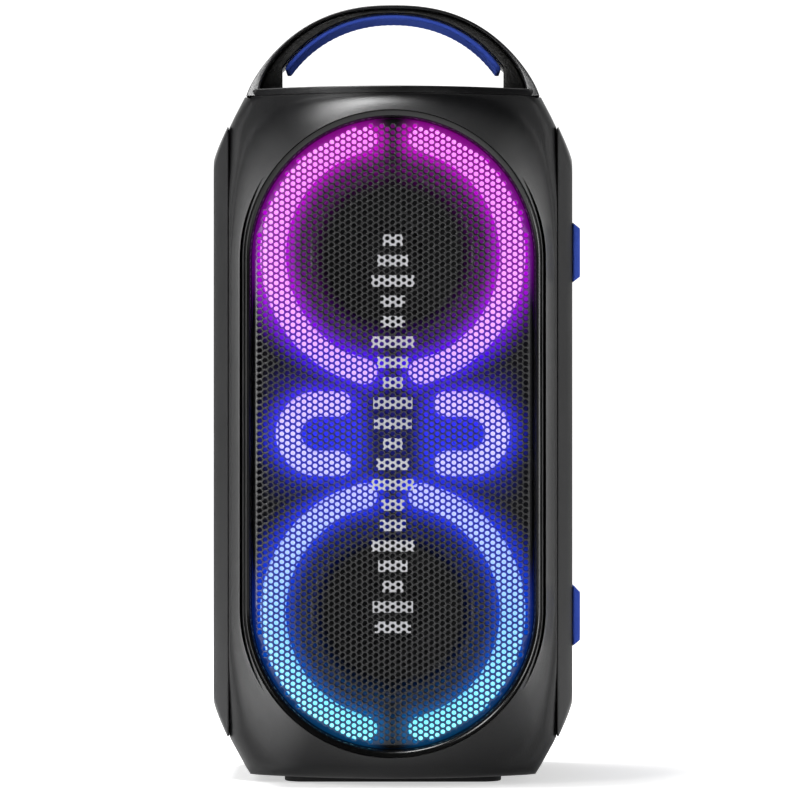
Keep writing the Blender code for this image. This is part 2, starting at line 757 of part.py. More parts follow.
def bass_port():
    inner, outer = PORT_R
    length = BACK_Y + GAP + 1.5 - PORT_FRONT_Y
    # The tube is turned about an axis that points forward, from the flange on the back
    profile = [(inner, length), (outer, length), (outer, 1.5), (PORT_FLANGE_R, 1.5)]
    profile += [(PORT_FLANGE_R, 0), (inner + 4, 0), (inner + 1.2, 2), (inner, 6)]
    turned("bass_port_tube", profile, DARK_ABS, (0, PORT_FRONT_Y + length, PORT_Z), INNER_STEPS)


SOCKETS = (
    # name, centre x, half width, half height of the block, half width and half height of its mouth
    ("mains", -36.0, 10.5, 8.0, 6.8, 4.2),
    ("charge_out", -8.0, 8.5, 5.0, 6.4, 2.6),
    ("audio_in", 14.0, 5.5, 5.5, 2.1, 2.1),
    ("service", 35.0, 6.5, 4.0, 4.6, 2.1),
)
SOCKET_FACE_Y = 86.5
SOCKET_BOARD_Y = (72.0, 73.6)


def socket_bay():
    """A tub let into the back, open to the rear, with a window for each socket and holes for the pin."""
    half_x, half_z = BAY_HALF
    wall = BAY_WALL
    tub = box(
        "socket_bay",
        (-half_x - wall, BAY_BACK_Y - wall, BAY_Z - half_z - wall),
        (half_x + wall, BACK_Y - GAP, BAY_Z + half_z + wall),
        DARK_ABS,
    )
    hollow = box(
        "bay_hollow",
        (-half_x, BAY_BACK_Y, BAY_Z - half_z),
        (half_x, BACK_Y + 5, BAY_Z + half_z),
        None,
        cutter=True,
    )
    reach = half_x + wall + 1
    pin_hole = cylinder(
        "pin_hole", HINGE_BORE_R, (-reach, HINGE_Y, HINGE_Z), (reach, HINGE_Y, HINGE_Z), "X", None,
        steps=16, cutter=True,
    )
    cut(tub, hollow, pin_hole)
    for name, x, half_w, half_h, _, _ in SOCKETS:
        window = box(
            name + "_window",
            (x - half_w - GAP, BAY_BACK_Y - 5, BAY_Z - half_h - GAP),
            (x + half_w + GAP, BAY_BACK_Y + 5, BAY_Z + half_h + GAP),
            None,
            cutter=True,
        )
        cut(tub, window)


def socket_board():
    """A circuit board with four socket blocks, whose mouths open into the bay."""
    low_y, high_y = SOCKET_BOARD_Y
    board = box("socket_board", (-50, low_y, BAY_Z - 18), (50, high_y, BAY_Z + 18), PCB)
    for name, x, half_w, half_h, mouth_w, mouth_h in SOCKETS:
        block = box(
            name + "_block",
            (x - half_w, high_y - 1, BAY_Z - half_h),
            (x + half_w, SOCKET_FACE_Y, BAY_Z + half_h),
            None,
            cutter=True,
        )
        mouth = box(
            name + "_mouth",
            (x - mouth_w, SOCKET_FACE_Y - 10, BAY_Z - mouth_h),
            (x + mouth_w, SOCKET_FACE_Y + 5, BAY_Z + mouth_h),
            None,
            cutter=True,
        )
        cut(board, block, operation="UNION")
        cut(board, mouth)


def port_cover():
    """The flap over the sockets. Its origin is on its hinge axis, along its lower edge."""
    half_x = BAY_HALF[0] - 0.5
    low_y, high_y = FLAP_Y
    pivot = (0, HINGE_Y, HINGE_Z)
    flap = box(
        "port_cover", (-half_x, low_y, HINGE_Z), (half_x, high_y, BAY_Z + BAY_HALF[1] - 0.5), RUBBER,
        at=pivot,
    )
    barrel = cylinder(
        "flap_barrel", HINGE_BARREL_R, (-half_x, HINGE_Y, HINGE_Z), (half_x, HINGE_Y, HINGE_Z), "X",
        None, cutter=True,
    )
    bore = cylinder(
        "flap_bore", HINGE_BORE_R, (-60, HINGE_Y, HINGE_Z), (60, HINGE_Y, HINGE_Z), "X", None,
        steps=16, cutter=True,
    )
    cut(flap, barrel, operation="UNION")
    cut(flap, bore)
    reach = BAY_HALF[0] + BAY_WALL - 0.4
    cylinder(
        "port_cover_pin", HINGE_PIN_R, (-reach, HINGE_Y, HINGE_Z), (reach, HINGE_Y, HINGE_Z), "X",
        DARK_STEEL, steps=16,
    )


AMP_Y = (58.0, 59.6)
AMP_Z = (215.0, 305.0)
SINK_FINS = 9
BATTERY_LOW = (-65, -20, 12)
BATTERY_HIGH = (65, 55, 54)


def amplifier():
    """The amplifier's board with its large components, and the finned heat sink behind it."""
    board = box("amplifier_board", (-60, AMP_Y[0], AMP_Z[0]), (60, AMP_Y[1], AMP_Z[1]), PCB)
    blocks = (
        ("transformer", (-48, 222), 28, 24, 22),
        ("capacitor", (-6, 226), 16, 16, 25),
        ("inductors", (24, 224), 24, 14, 12),
        ("amplifier_chip", (-14, 262), 28, 20, 4),
        ("connector", (30, 280), 20, 8, 9),
    )
    for name, (x, z), width, height, depth in blocks:
        block = box(
            name, (x, AMP_Y[0] - depth, z), (x + width, AMP_Y[0] + 0.8, z + height), None, cutter=True
        )
        cut(board, block, operation="UNION")
    base_y = AMP_Y[1] + GAP
    fin_y = base_y + 22
    pitch, fin = 10.0, 2.0
    half = (SINK_FINS - 1) / 2 * pitch + fin / 2
    comb = [(half, base_y), (half, fin_y)]
    for i in range(SINK_FINS - 1):
        right = half - fin - i * pitch
        left = right - pitch + fin
        comb += [(right, fin_y), (right, base_y + 3.5), (left, base_y + 3.5), (left, fin_y)]
    comb += [(-half, fin_y), (-half, base_y)]
    outline_curve("heat_sink", [comb], 80, ALUMINIUM, facing="Z", at=(0, 0, sum(AMP_Z) / 2))


def wire(name, points, radius=1.3):
    """A pair of twisted leads drawn as one round wire, smoothed between its own points."""
    spots = [Vector(p) for p in points]
    smooth = []
    for i in range(len(spots) - 1):
        p0, p1 = spots[max(i - 1, 0)], spots[i]
        p2, p3 = spots[i + 1], spots[min(i + 2, len(spots) - 1)]
        for k in range(5):
            t = k / 5
            smooth.append(
                0.5 * (2 * p1 + (p2 - p0) * t + (2 * p0 - 5 * p1 + 4 * p2 - p3) * t * t
                       + (3 * p1 - p0 - 3 * p2 + p3) * t**3)
            )
    smooth.append(spots[-1])
    curve = bpy.data.curves.new(name, "CURVE")
    curve.dimensions = "3D"
    curve.bevel_depth = radius * MM
    curve.bevel_resolution = 1
    curve.use_fill_caps = True
    spline = curve.splines.new("POLY")
    spline.points.add(len(smooth) - 1)
    for point, spot in zip(spline.points, smooth):
        point.co = (*(spot * MM), 1)
    place(bpy.data.objects.new(name, curve), WIRE)


def speaker_leads():
    """From beside each woofer's basket to the amplifier board's connector."""
    for level, sign, x in (("upper", 1, 46), ("lower", -1, 36)):
        z_driver = MID_Z + sign * DRIVER_DZ
        wire(
            f"speaker_lead_{level}",
            [
                (x + 8, -70, z_driver - sign * 30),
                (x + 8, -40, z_driver - sign * 38),
                (x + 4, 0, MID_Z + 60 + sign * 14),
                (x, 35, 284 + sign * 4),
                (x, 48.6, 284 + sign * 1.6),
            ],
        )


def battery():
    box("battery_pack", BATTERY_LOW, BATTERY_HIGH, BATTERY_WRAP, round_edges=3)


def bottom_foot():
    half_x, low_y, high_y, corner = 66.0, -61.0, 75.0, 12.0
    centres = [
        (half_x - corner, high_y - corner, 0.0),
        (corner - half_x, high_y - corner, math.pi / 2),
        (corner - half_x, low_y + corner, math.pi),
        (half_x - corner, low_y + corner, math.pi * 1.5),
    ]
    outline = []
    for x, y, start in centres:
        outline += arc(x, y, corner, start, start + math.pi / 2, 4)
    thick = BASE_Z - GAP
    outline_curve("bottom_foot", [outline], thick, RUBBER, facing="Z", at=(0, 0, thick / 2))


front_frame()
rear_cover()
side_panel("side_panel_right", 1)
side_panel("side_panel_left", -1)
for level, centre in PAD_CENTRES_Z.items():
    pad("side_pad_" + level, centre)
handle_frame()
handle_grip()
control_panel()
buttons()
grille_and_baffle()
front_lights()
for level, centre in driver_places():
    woofer(level, centre)
tweeter("left", -1)
tweeter("right", 1)
bass_port()
socket_bay()
socket_board()
port_cover()
amplifier()
speaker_leads()
battery()
bottom_foot()
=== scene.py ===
"""The party speaker's looks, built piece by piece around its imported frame, in metres."""

import math

import bmesh
import bpy
from mathutils import Matrix, Vector


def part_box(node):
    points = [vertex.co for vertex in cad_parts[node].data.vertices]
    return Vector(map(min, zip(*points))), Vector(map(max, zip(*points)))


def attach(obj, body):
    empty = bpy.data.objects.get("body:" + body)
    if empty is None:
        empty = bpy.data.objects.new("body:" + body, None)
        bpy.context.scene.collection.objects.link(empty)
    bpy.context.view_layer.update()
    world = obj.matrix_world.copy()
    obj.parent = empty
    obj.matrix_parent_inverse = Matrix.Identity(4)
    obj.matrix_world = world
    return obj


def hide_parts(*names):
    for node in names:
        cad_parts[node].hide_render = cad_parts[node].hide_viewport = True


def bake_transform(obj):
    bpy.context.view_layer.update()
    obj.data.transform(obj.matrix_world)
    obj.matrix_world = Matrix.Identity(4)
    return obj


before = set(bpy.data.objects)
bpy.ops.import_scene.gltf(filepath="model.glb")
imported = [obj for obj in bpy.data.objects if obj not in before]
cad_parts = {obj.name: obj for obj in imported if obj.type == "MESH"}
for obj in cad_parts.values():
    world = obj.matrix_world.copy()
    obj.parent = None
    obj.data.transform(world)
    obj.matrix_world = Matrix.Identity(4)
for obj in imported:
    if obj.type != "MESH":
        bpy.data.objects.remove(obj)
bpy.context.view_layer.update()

# ---------------------------------------------------------------- camera, floor and lights
# A pale paper floor runs back into a bright wall. Softboxes stand in front, beside and over the
# object, and the front of the room is dark, so that black plastic shows its shape.

MM = 0.001
EYE_HEIGHT = 0.232
EYE_DISTANCE = 3.0
EYE_SIDE = 0.0043
LENS_MM = 217.7


def linear(hex_colour):
    """An sRGB hex colour as linear RGBA."""
    parts = [int(hex_colour[i : i + 2], 16) / 255 for i in (1, 3, 5)]
    return (*[p / 12.92 if p <= 0.04045 else ((p + 0.055) / 1.055) ** 2.4 for p in parts], 1.0)


def add(owner, kind, inputs=None, stops=(), **settings):
    """Adds a node with its settings; an input is a number, a colour or another node's output."""
    node = owner.node_tree.nodes.new("ShaderNode" + kind)
    for name, value in settings.items():
        setattr(node, name, value)
    for name, value in (inputs or {}).items():
        if isinstance(value, bpy.types.NodeSocket):
            owner.node_tree.links.new(value, node.inputs[name])
        else:
            node.inputs[name].default_value = value
    if stops:
        ramp = node.color_ramp.elements
        while len(ramp) < len(stops):
            ramp.new(1.0)
        for stop, (place, colour) in zip(ramp, stops):
            stop.position = place
            stop.color = linear(colour)
    return node


def shader_of(name, colour, roughness, **sockets):
    """A new material and its shader, whose constant sockets are set; _ in a name stands for a space."""
    mat = bpy.data.materials.new(name)
    mat.use_nodes = True
    shader = mat.node_tree.nodes["Principled BSDF"]
    shader.inputs["Base Color"].default_value = linear(colour)
    shader.inputs["Roughness"].default_value = roughness
    for socket, value in sockets.items():
        shader.inputs[socket.replace("_", " ")].default_value = value
    return mat, shader


def made(name, bm, mat, smooth=32.0):
    """A finished bmesh as an object, shaded smooth except where its faces meet sharply."""
    bmesh.ops.recalc_face_normals(bm, faces=bm.faces)
    mesh = bpy.data.meshes.new(name)
    bm.to_mesh(mesh)
    bm.free()
    mesh.shade_smooth()
    mesh.set_sharp_from_angle(angle=math.radians(smooth))
    mesh.materials.append(mat)
    obj = bpy.data.objects.new(name, mesh)
    bpy.context.scene.collection.objects.link(obj)
    return obj


camera_data = bpy.data.cameras.new("camera")
camera_data.lens = LENS_MM
camera_data.sensor_width = 36.0
camera = bpy.data.objects.new("camera", camera_data)
camera.location = (EYE_SIDE, -EYE_DISTANCE, EYE_HEIGHT)
camera.rotation_euler = (math.pi / 2, 0, 0)
bpy.context.scene.collection.objects.link(camera)
bpy.context.scene.camera = camera
bpy.context.scene.view_settings.view_transform = "Standard"

paper, paper_shader = shader_of("studio_paper", "#f4f4f4", 0.9)
paper_place = add(paper, "TexCoord").outputs["Object"]
paper_grain = add(paper, "TexNoise", {"Vector": paper_place, "Scale": 900.0, "Detail": 2.0})
paper_tone = add(
    paper, "ValToRGB", {"Fac": paper_grain.outputs["Fac"]}, ((0.3, "#f1f1f1"), (0.7, "#f6f6f6"))
)
paper.node_tree.links.new(paper_tone.outputs["Color"], paper_shader.inputs["Base Color"])
# The paper glows like an overexposed backdrop, less so close to the object, where its shadow falls
paper_reach = add(paper, "VectorMath", {0: paper_place}, operation="LENGTH").outputs["Value"]
paper_glow = add(
    paper, "MapRange",
    {"Value": paper_reach, "From Min": 0.12, "From Max": 0.75, "To Min": 0.55, "To Max": 1.0},
)
paper_seen = add(paper, "LightPath").outputs["Is Camera Ray"]
paper_level = add(
    paper, "MapRange", {"Value": paper_seen, "To Min": 0.2, "To Max": paper_glow.outputs[0]}
)
paper.node_tree.links.new(paper_level.outputs[0], paper_shader.inputs["Emission Strength"])
paper_shader.inputs["Emission Color"].default_value = (1.0, 1.0, 1.0, 1.0)
floor_mesh = bmesh.new()
bmesh.ops.create_grid(floor_mesh, x_segments=8, y_segments=8, size=30.0)
floor = made("floor", floor_mesh, paper)


def softbox(name, place, aim, size, watts):
    """A rectangular area light that faces a point."""
    data = bpy.data.lights.new(name, "AREA")
    data.shape = "RECTANGLE"
    data.size, data.size_y = size
    data.energy = watts
    light = bpy.data.objects.new(name, data)
    light.location = place
    light.rotation_euler = (Vector(aim) - Vector(place)).to_track_quat("-Z", "Y").to_euler()
    bpy.context.scene.collection.objects.link(light)


softbox("key_left", (-1.3, -1.5, 1.6), (0, 0, 0.3), (0.6, 0.6), 16)
softbox("front_left", (-1.22, -1.95, 0.3), (0, 0, 0.24), (0.5, 0.9), 12)
softbox("front_right", (1.1, -2.0, 0.3), (0, 0, 0.24), (0.3, 0.8), 3)
softbox("side_left", (-1.7, 0.1, 0.3), (0, 0, 0.24), (0.4, 1.0), 4)
softbox("side_right", (1.7, 0.1, 0.3), (0, 0, 0.24), (0.4, 1.0), 4)
softbox("overhead", (-0.35, 0.05, 1.8), (0, 0, 0.3), (0.9, 0.5), 31)

room = bpy.data.worlds.new("studio_room")
bpy.context.scene.world = room
room.use_nodes = True
room_light = room.node_tree.nodes["Background"]
room_way = add(room, "SeparateXYZ", {0: add(room, "TexCoord").outputs["Generated"]}).outputs["Y"]
room_wall = add(
    room, "MapRange", {"Value": room_way, "From Min": 0.3, "From Max": 0.9, "To Min": 0.04, "To Max": 1.2}
)
seen = add(room, "LightPath").outputs["Is Camera Ray"]
room_level = add(room, "Math", {0: room_wall.outputs[0], 1: seen}, operation="MAXIMUM")
room.node_tree.links.new(room_level.outputs[0], room_light.inputs["Strength"])
room_light.inputs["Color"].default_value = (1.0, 1.0, 1.0, 1.0)

# ---------------------------------------------------------------- front frame
# The moulded front shell: satin black ABS with an etched grain. Its skin falls away from a
# stadium-shaped rim to the eight-sided outline, and a short throat leads in to the grille.

GRILLE_LOW, GRILLE_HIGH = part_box("grille")
FRAME_LOW, FRAME_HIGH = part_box("front_frame")
PANEL_LOW, PANEL_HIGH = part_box("side_panel_right")
GRILLE_R = GRILLE_HIGH.x
MID_Z = (GRILLE_LOW.z + GRILLE_HIGH.z) / 2
STRAIGHT = (GRILLE_HIGH.z - GRILLE_LOW.z) / 2 - GRILLE_R  # half the length of the stadium's sides
RIM_Y = FRAME_LOW.y
SPLIT_Y = FRAME_HIGH.y
EDGE_Y = -95.0 * MM  # front edge of the outline at its middle
EDGE_SWEEP = 4.5  # how fast that edge falls back towards the sides, per metre
THROAT_R = GRILLE_R + 0.3 * MM
RIM_R = 89.4 * MM
WALL = 3.0 * MM
FRAME_TAIL_Y = -84.0 * MM  # how far back the stadium's throat reaches
TOP_HALF_W = 90.3 * MM
BASE_HALF_W = 87.0 * MM
CORNER_POWER = 300  # how tightly the outline's corners are rounded
RING_STEPS = 80  # segments in each half circle of the stadium

right_side = [
    Vector((BASE_HALF_W, FRAME_LOW.z)),
    Vector((FRAME_HIGH.x, PANEL_LOW.z)),
    Vector((FRAME_HIGH.x, PANEL_HIGH.z)),
    Vector((TOP_HALF_W, FRAME_HIGH.z)),
]
OUTLINE = right_side + [Vector((-p.x, p.y)) for p in reversed(right_side)]


def outline_reach(centre_z, heading, inset=0.0, power=CORNER_POWER):
    """How far the outline is from (0, centre_z) in a heading; a low power rounds every corner off."""
    start = Vector((0.0, centre_z))
    reaches = []
    flat_top = math.inf
    for i, corner in enumerate(OUTLINE):
        side = (OUTLINE[(i + 1) % len(OUTLINE)] - corner).normalized()
        outward = Vector((side.y, -side.x))
        facing = heading.dot(outward)
        if facing < 0.02:
            continue
        reach = ((corner - start).dot(outward) - (0 if outward.y > 0.99 else inset)) / facing
        if outward.y > 0.99 and power == CORNER_POWER:
            flat_top = reach
        else:
            reaches.append(reach)
    nearest = min(reaches, default=math.inf)
    if reaches:
        nearest *= sum((nearest / reach) ** power for reach in reaches) ** (-1 / power)
    return min(nearest, flat_top)


def stadium_rays():
    """Centre height and heading of each ray round the stadium; some are turned to meet the corners."""
    rays = []
    for centre_z, start in ((MID_Z + STRAIGHT, 0.0), (MID_Z - STRAIGHT, math.pi)):
        for i in range(RING_STEPS + 1):
            turn = start + math.pi * i / RING_STEPS
            rays.append((centre_z, Vector((math.cos(turn), math.sin(turn)))))
    for corner in OUTLINE:
        first = 0 if corner.y > MID_Z else RING_STEPS + 1
        exact = (corner - Vector((0, rays[first][0]))).normalized()
        nearest = max(range(first, first + RING_STEPS + 1), key=lambda i: rays[i][1].dot(exact))
        rays[nearest] = (rays[nearest][0], exact)
    return rays


RAYS = stadium_rays()


def throat_ring(radius, y):
    return [(heading.x * radius, y, centre_z + heading.y * radius) for centre_z, heading in RAYS]


def edge_y(x):
    return EDGE_Y + EDGE_SWEEP * x * x


SOFT_POWER = 7  # rounds the line at which the skin's fall from the rim ends
EDGE_ROUND = 7.0 * MM


def edge_round(heading, centre_z):
    """Radius of the skin's outer edge: full at the shoulders and base, small at the sides and top."""
    level = abs(heading.y) if centre_z < MID_Z else min(abs(heading.y), 1.6 * abs(heading.x))
    ease = min(1.0, max(0.0, (level - 0.25) / 0.45))
    return 0.8 * MM + EDGE_ROUND * ease * ease * (3 - 2 * ease)


def skin_ring(share, back=0.0, inset=0.0, y=None, turn=None):
    """A ring on the front skin, at a share of the way from the rim to the outline.

    With a turn, the ring lies that far round the skin's rounded outer edge instead.
    """
    ring = []
    for centre_z, heading in RAYS:
        radius = edge_round(heading, centre_z)
        outer = outline_reach(centre_z, heading, inset)
        full = outer if y is not None else outline_reach(centre_z, heading, radius)
        if turn is not None:
            full = outline_reach(centre_z, heading, radius * (1 - math.sin(turn)))
        spot = heading * (RIM_R + (full - RIM_R) * share)
        soft_reach = outline_reach(centre_z, heading, 0, SOFT_POWER)
        fall = min(1.0, max(0.0, spot.length - RIM_R) / (soft_reach - RIM_R))
        depth = RIM_Y + (edge_y(spot.x) - RIM_Y) * (1 - (1 - fall) ** 1.7) if y is None else y
        if turn is not None:
            depth += radius * (1 - math.cos(turn))
        ring.append((spot.x, depth + back, centre_z + spot.y))
    return ring


def skin(rings, closed=False, cap_first=False, cap_last=False):
    """A skin drawn through rings of equally many points, each ring extruded out of the last."""
    bm = bmesh.new()
    count = len(rings[0])
    loop = [bm.verts.new(point) for point in rings[0]]
    first = loop
    edges = [bm.edges.new((loop[i], loop[(i + 1) % count])) for i in range(count)]
    if cap_first:
        bm.faces.new(loop)
    for ring in rings[1:]:
        grown = bmesh.ops.extrude_edge_only(bm, edges=edges)["geom"]
        new = {v for v in grown if isinstance(v, bmesh.types.BMVert)}
        loop = [next(e.other_vert(v) for e in v.link_edges if e.other_vert(v) in new) for v in loop]
        for vert, point in zip(loop, ring):
            vert.co = point
        edges = [bm.edges.get((loop[i], loop[(i + 1) % count])) for i in range(count)]
    if closed:
        start = [bm.edges.get((first[i], first[(i + 1) % count])) for i in range(count)]
        bmesh.ops.bridge_loops(bm, edges=edges + start)
    if cap_last:
        bm.faces.new(loop)
    return bm


def moulded(name, dark, light, gloss, grain, relief):
    """Moulded plastic: an etched grain of a size in metres, speckled colour, and uneven gloss."""
    mat, shader = shader_of(name, dark, gloss)
    place = add(mat, "TexCoord").outputs["Object"]
    speck = add(mat, "TexNoise", {"Vector": place, "Scale": 1 / grain, "Detail": 3.0, "Roughness": 0.65})
    cloud = add(mat, "TexNoise", {"Vector": place, "Scale": 22.0, "Detail": 3.0})
    both = add(
        mat, "MapRange",
        {"Value": speck.outputs["Fac"], "From Min": 0.35, "From Max": 0.65, "To Max": cloud.outputs["Fac"]},
    )
    tone = add(mat, "ValToRGB", {"Fac": both.outputs[0]}, ((0.1, dark), (0.75, light)))
    rough = add(
        mat, "MapRange",
        {"Value": cloud.outputs["Fac"], "From Min": 0.3, "From Max": 0.7,
         "To Min": gloss - 0.05, "To Max": gloss + 0.06},
    )
    bump = add(mat, "Bump", {"Height": speck.outputs["Fac"], "Strength": relief, "Distance": 0.4 * grain})
    mat.node_tree.links.new(tone.outputs["Color"], shader.inputs["Base Color"])
    mat.node_tree.links.new(rough.outputs[0], shader.inputs["Roughness"])
    mat.node_tree.links.new(bump.outputs["Normal"], shader.inputs["Normal"])
    return mat


# Etched satin ABS: nearly black, with a sparkle where the grain catches the light
cabinet_abs = moulded("moulded_black_abs", "#0c0c0d", "#1a1a1c", 0.33, 0.9 * MM, 0.4)
cabinet_abs.node_tree.nodes["Principled BSDF"].inputs["Specular IOR Level"].default_value = 0.36

TRIM_OUT_R = RIM_R - 0.5 * MM
frame_rings = [
    throat_ring(TRIM_OUT_R + 0.15 * MM, FRAME_TAIL_Y),
    throat_ring(TRIM_OUT_R + 0.15 * MM, RIM_Y + 0.4 * MM),
    throat_ring(TRIM_OUT_R + 0.35 * MM, RIM_Y + 0.1 * MM),
]
for share in (0, 0.03, 0.07, 0.12, 0.18, 0.26, 0.35, 0.45, 0.55, 0.65, 0.74, 0.82, 0.89, 0.95, 0.985, 1):
    frame_rings.append(skin_ring(share))
frame_rings += [skin_ring(1, turn=math.pi / 2 * i / 6) for i in range(1, 7)]
frame_rings += [
    skin_ring(1, y=SPLIT_Y - 0.6 * MM),
    skin_ring(1, y=SPLIT_Y, inset=0.5 * MM),
    skin_ring(1, y=SPLIT_Y, inset=WALL),
    skin_ring(0.9, back=EDGE_ROUND + WALL),
    skin_ring(0.5, back=1.5 * WALL),
    throat_ring(TRIM_OUT_R + WALL, -100 * MM),
    throat_ring(TRIM_OUT_R + WALL, FRAME_TAIL_Y),
]
front = made("front_frame_shell", skin(frame_rings, closed=True), cabinet_abs, 40)
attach(front, "root")
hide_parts("front_frame")

# Polished ABS: the rim's roll gives one thin, sharp line of light
polished_abs = moulded("polished_black_abs", "#060606", "#0c0c0c", 0.16, 1.2 * MM, 0.03)
ROLL_Y = -101.4 * MM  # where the throat's wall turns into the rim's roll
rim = [
    throat_ring(TRIM_OUT_R, FRAME_TAIL_Y),
    throat_ring(THROAT_R, FRAME_TAIL_Y),
    throat_ring(THROAT_R, ROLL_Y + 0.4 * MM),
]
for i in range(8):
    turn = math.pi / 2 * i / 7
    rim.append(throat_ring(
        THROAT_R + 0.2 * MM + (TRIM_OUT_R - THROAT_R - 0.3 * MM) * (1 - math.cos(turn)),
        ROLL_Y + (RIM_Y - ROLL_Y) * math.sin(turn) ** 0.8,
    ))
rim.append(throat_ring(TRIM_OUT_R, RIM_Y + 0.3 * MM))
rim = made("front_frame_rim", skin(rim, closed=True), polished_abs, 40)
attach(rim, "root")

# ---------------------------------------------------------------- grille
# One sheet of steel, punched with rows of round holes and powder-coated black. The holes' edges
# are rolled over, which the shading across the narrow webs shows. A whole strip is left round the
# outside, and the margin bends back a little.

HOLE_PITCH = 3.84 * MM
HOLE_R = 1.4 * MM
COLUMN_PITCH = HOLE_PITCH * math.sqrt(3) / 2
HOLE_SIDES = 8
EDGE_STRIP = 2.1 * MM
BEND_WIDTH = 16.0 * MM  # the sheet bends back over this much of its margin
BEND_DEPTH = 2.6 * MM


def stadium_depth(x, z):
    """How far a point is from the stadium's middle line."""
    return math.hypot(x, max(0.0, abs(z - MID_Z) - STRAIGHT))


def punched_sheet():
    """A flat sheet in the front's plane, at y = 0, of hexagon cells with a round hole in each."""
    cell = bmesh.new()
    bmesh.ops.create_circle(cell, segments=6, radius=HOLE_PITCH / math.sqrt(3))
    bmesh.ops.create_circle(
        cell, segments=HOLE_SIDES, radius=HOLE_R, matrix=Matrix.Rotation(math.pi / HOLE_SIDES, 4, "Z")
    )
    bmesh.ops.triangle_fill(cell, edges=cell.edges, use_beauty=True)
    bmesh.ops.delete(
        cell,
        geom=[f for f in cell.faces if all(v.co.length < 1.1 * HOLE_R for v in f.verts)],
        context="FACES_ONLY",
    )
    # A hexagon starts with a corner at +Y: a twelfth of a turn lets flat sides meet along a column
    cell.transform(Matrix.Rotation(math.pi / 2, 4, "X") @ Matrix.Rotation(math.pi / 6, 4, "Z"))
    columns = int(GRILLE_R / COLUMN_PITCH) + 2
    rows = int((STRAIGHT + GRILLE_R) / HOLE_PITCH) + 2
    first_column = -2 * (columns // 2) * COLUMN_PITCH
    bmesh.ops.translate(cell, vec=(first_column, 0, MID_Z - rows * HOLE_PITCH), verts=cell.verts)
    mesh = bpy.data.meshes.new("cell")
    cell.to_mesh(mesh)
    cell.free()
    field = bpy.data.objects.new("cell", mesh)
    bpy.context.scene.collection.objects.link(field)
    steps = (
        ("rows", 2 * rows + 1, (0, 0, HOLE_PITCH)),
        ("offset_column", 2, (COLUMN_PITCH, 0, HOLE_PITCH / 2)),
        ("column_pairs", columns + 1, (2 * COLUMN_PITCH, 0, 0)),
    )
    for name, count, step in steps:
        array = field.modifiers.new(name, "ARRAY")
        array.count = count
        array.use_relative_offset = False
        array.use_constant_offset = True
        array.constant_offset_displace = step
    graph = bpy.context.evaluated_depsgraph_get()
    sheet = bmesh.new()
    sheet.from_mesh(field.evaluated_get(graph).to_mesh())
    bpy.data.objects.remove(field)
    corners_per_cell = 6 + HOLE_SIDES
    sheet.verts.ensure_lookup_table()
    outside, hexagons = [], []
    for i in range(0, len(sheet.verts), corners_per_cell):
        around = sheet.verts[i : i + corners_per_cell]
        centre = sum((v.co for v in around[:6]), Vector()) / 6
        if stadium_depth(centre.x, centre.z) > GRILLE_R - HOLE_R - EDGE_STRIP / 2:
            outside += around
        else:
            hexagons += around[:6]
    merged = bmesh.ops.find_doubles(sheet, verts=hexagons, dist=0.02 * MM)
    rim = {v for v in hexagons if v not in merged["targetmap"]}
    bmesh.ops.weld_verts(sheet, targetmap=merged["targetmap"])
    bmesh.ops.delete(sheet, geom=outside, context="VERTS")
    inner = [e for e in sheet.edges if e.is_boundary and e.verts[0] in rim and e.verts[1] in rim]
    return sheet, inner


def sheet_edge(bm, radius):
    """The stadium's outline as a loop of edges at y = 0: a circle with its halves moved apart."""
    half_step = Matrix.Rotation(math.pi / (2 * RING_STEPS), 4, "Z")
    turned = Matrix.Rotation(math.pi / 2, 4, "X") @ half_step
    loop = bmesh.ops.create_circle(bm, segments=2 * RING_STEPS, radius=radius, matrix=turned)["verts"]
    for vert in loop:
        vert.co.z += MID_Z + math.copysign(STRAIGHT, vert.co.z)
    return list({e for v in loop for e in v.link_edges})


sheet, inner_edge = punched_sheet()
bars_sheet = sheet.copy()
outer_edge = sheet_edge(sheet, GRILLE_R)
bmesh.ops.triangle_fill(sheet, edges=inner_edge + outer_edge, use_beauty=True)
bmesh.ops.translate(sheet, vec=(0, GRILLE_HIGH.y, 0), verts=sheet.verts)
pushed = bmesh.ops.extrude_face_region(sheet, geom=sheet.faces[:], use_keep_orig=True)["geom"]
front_verts = [v for v in pushed if isinstance(v, bmesh.types.BMVert)]
bmesh.ops.translate(sheet, vec=(0, GRILLE_LOW.y - GRILLE_HIGH.y, 0), verts=front_verts)

# Black powder coat: even and slightly pebbled, with a soft shine on the rolled edges
powder_coat = moulded("black_powder_coat", "#101011", "#212123", 0.24, 0.5 * MM, 0.1)
for vert in sheet.verts:
    bend = max(0.0, (stadium_depth(vert.co.x, vert.co.z) - GRILLE_R) / BEND_WIDTH + 1)
    vert.co.y += BEND_DEPTH * bend * bend
grille = made("grille_sheet", sheet, powder_coat, 180)
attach(grille, "root")
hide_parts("grille")

# ---------------------------------------------------------------- printed bars
# A column of plain level bars in pale ink, printed on the sheet's face after it was punched,
# so that each bar is broken up by the holes.

BAR_COUNT = 20
BAR_PITCH = 12.2 * MM
BAR_HEIGHT = 6.8 * MM
INK = 0.03 * MM


def gather(parts):
    """Several bmeshes as one; the parts are used up."""
    whole = bmesh.new()
    for part in parts:
        mesh = bpy.data.meshes.new("part")
        part.to_mesh(mesh)
        part.free()
        whole.from_mesh(mesh)
        bpy.data.meshes.remove(mesh)
    return whole


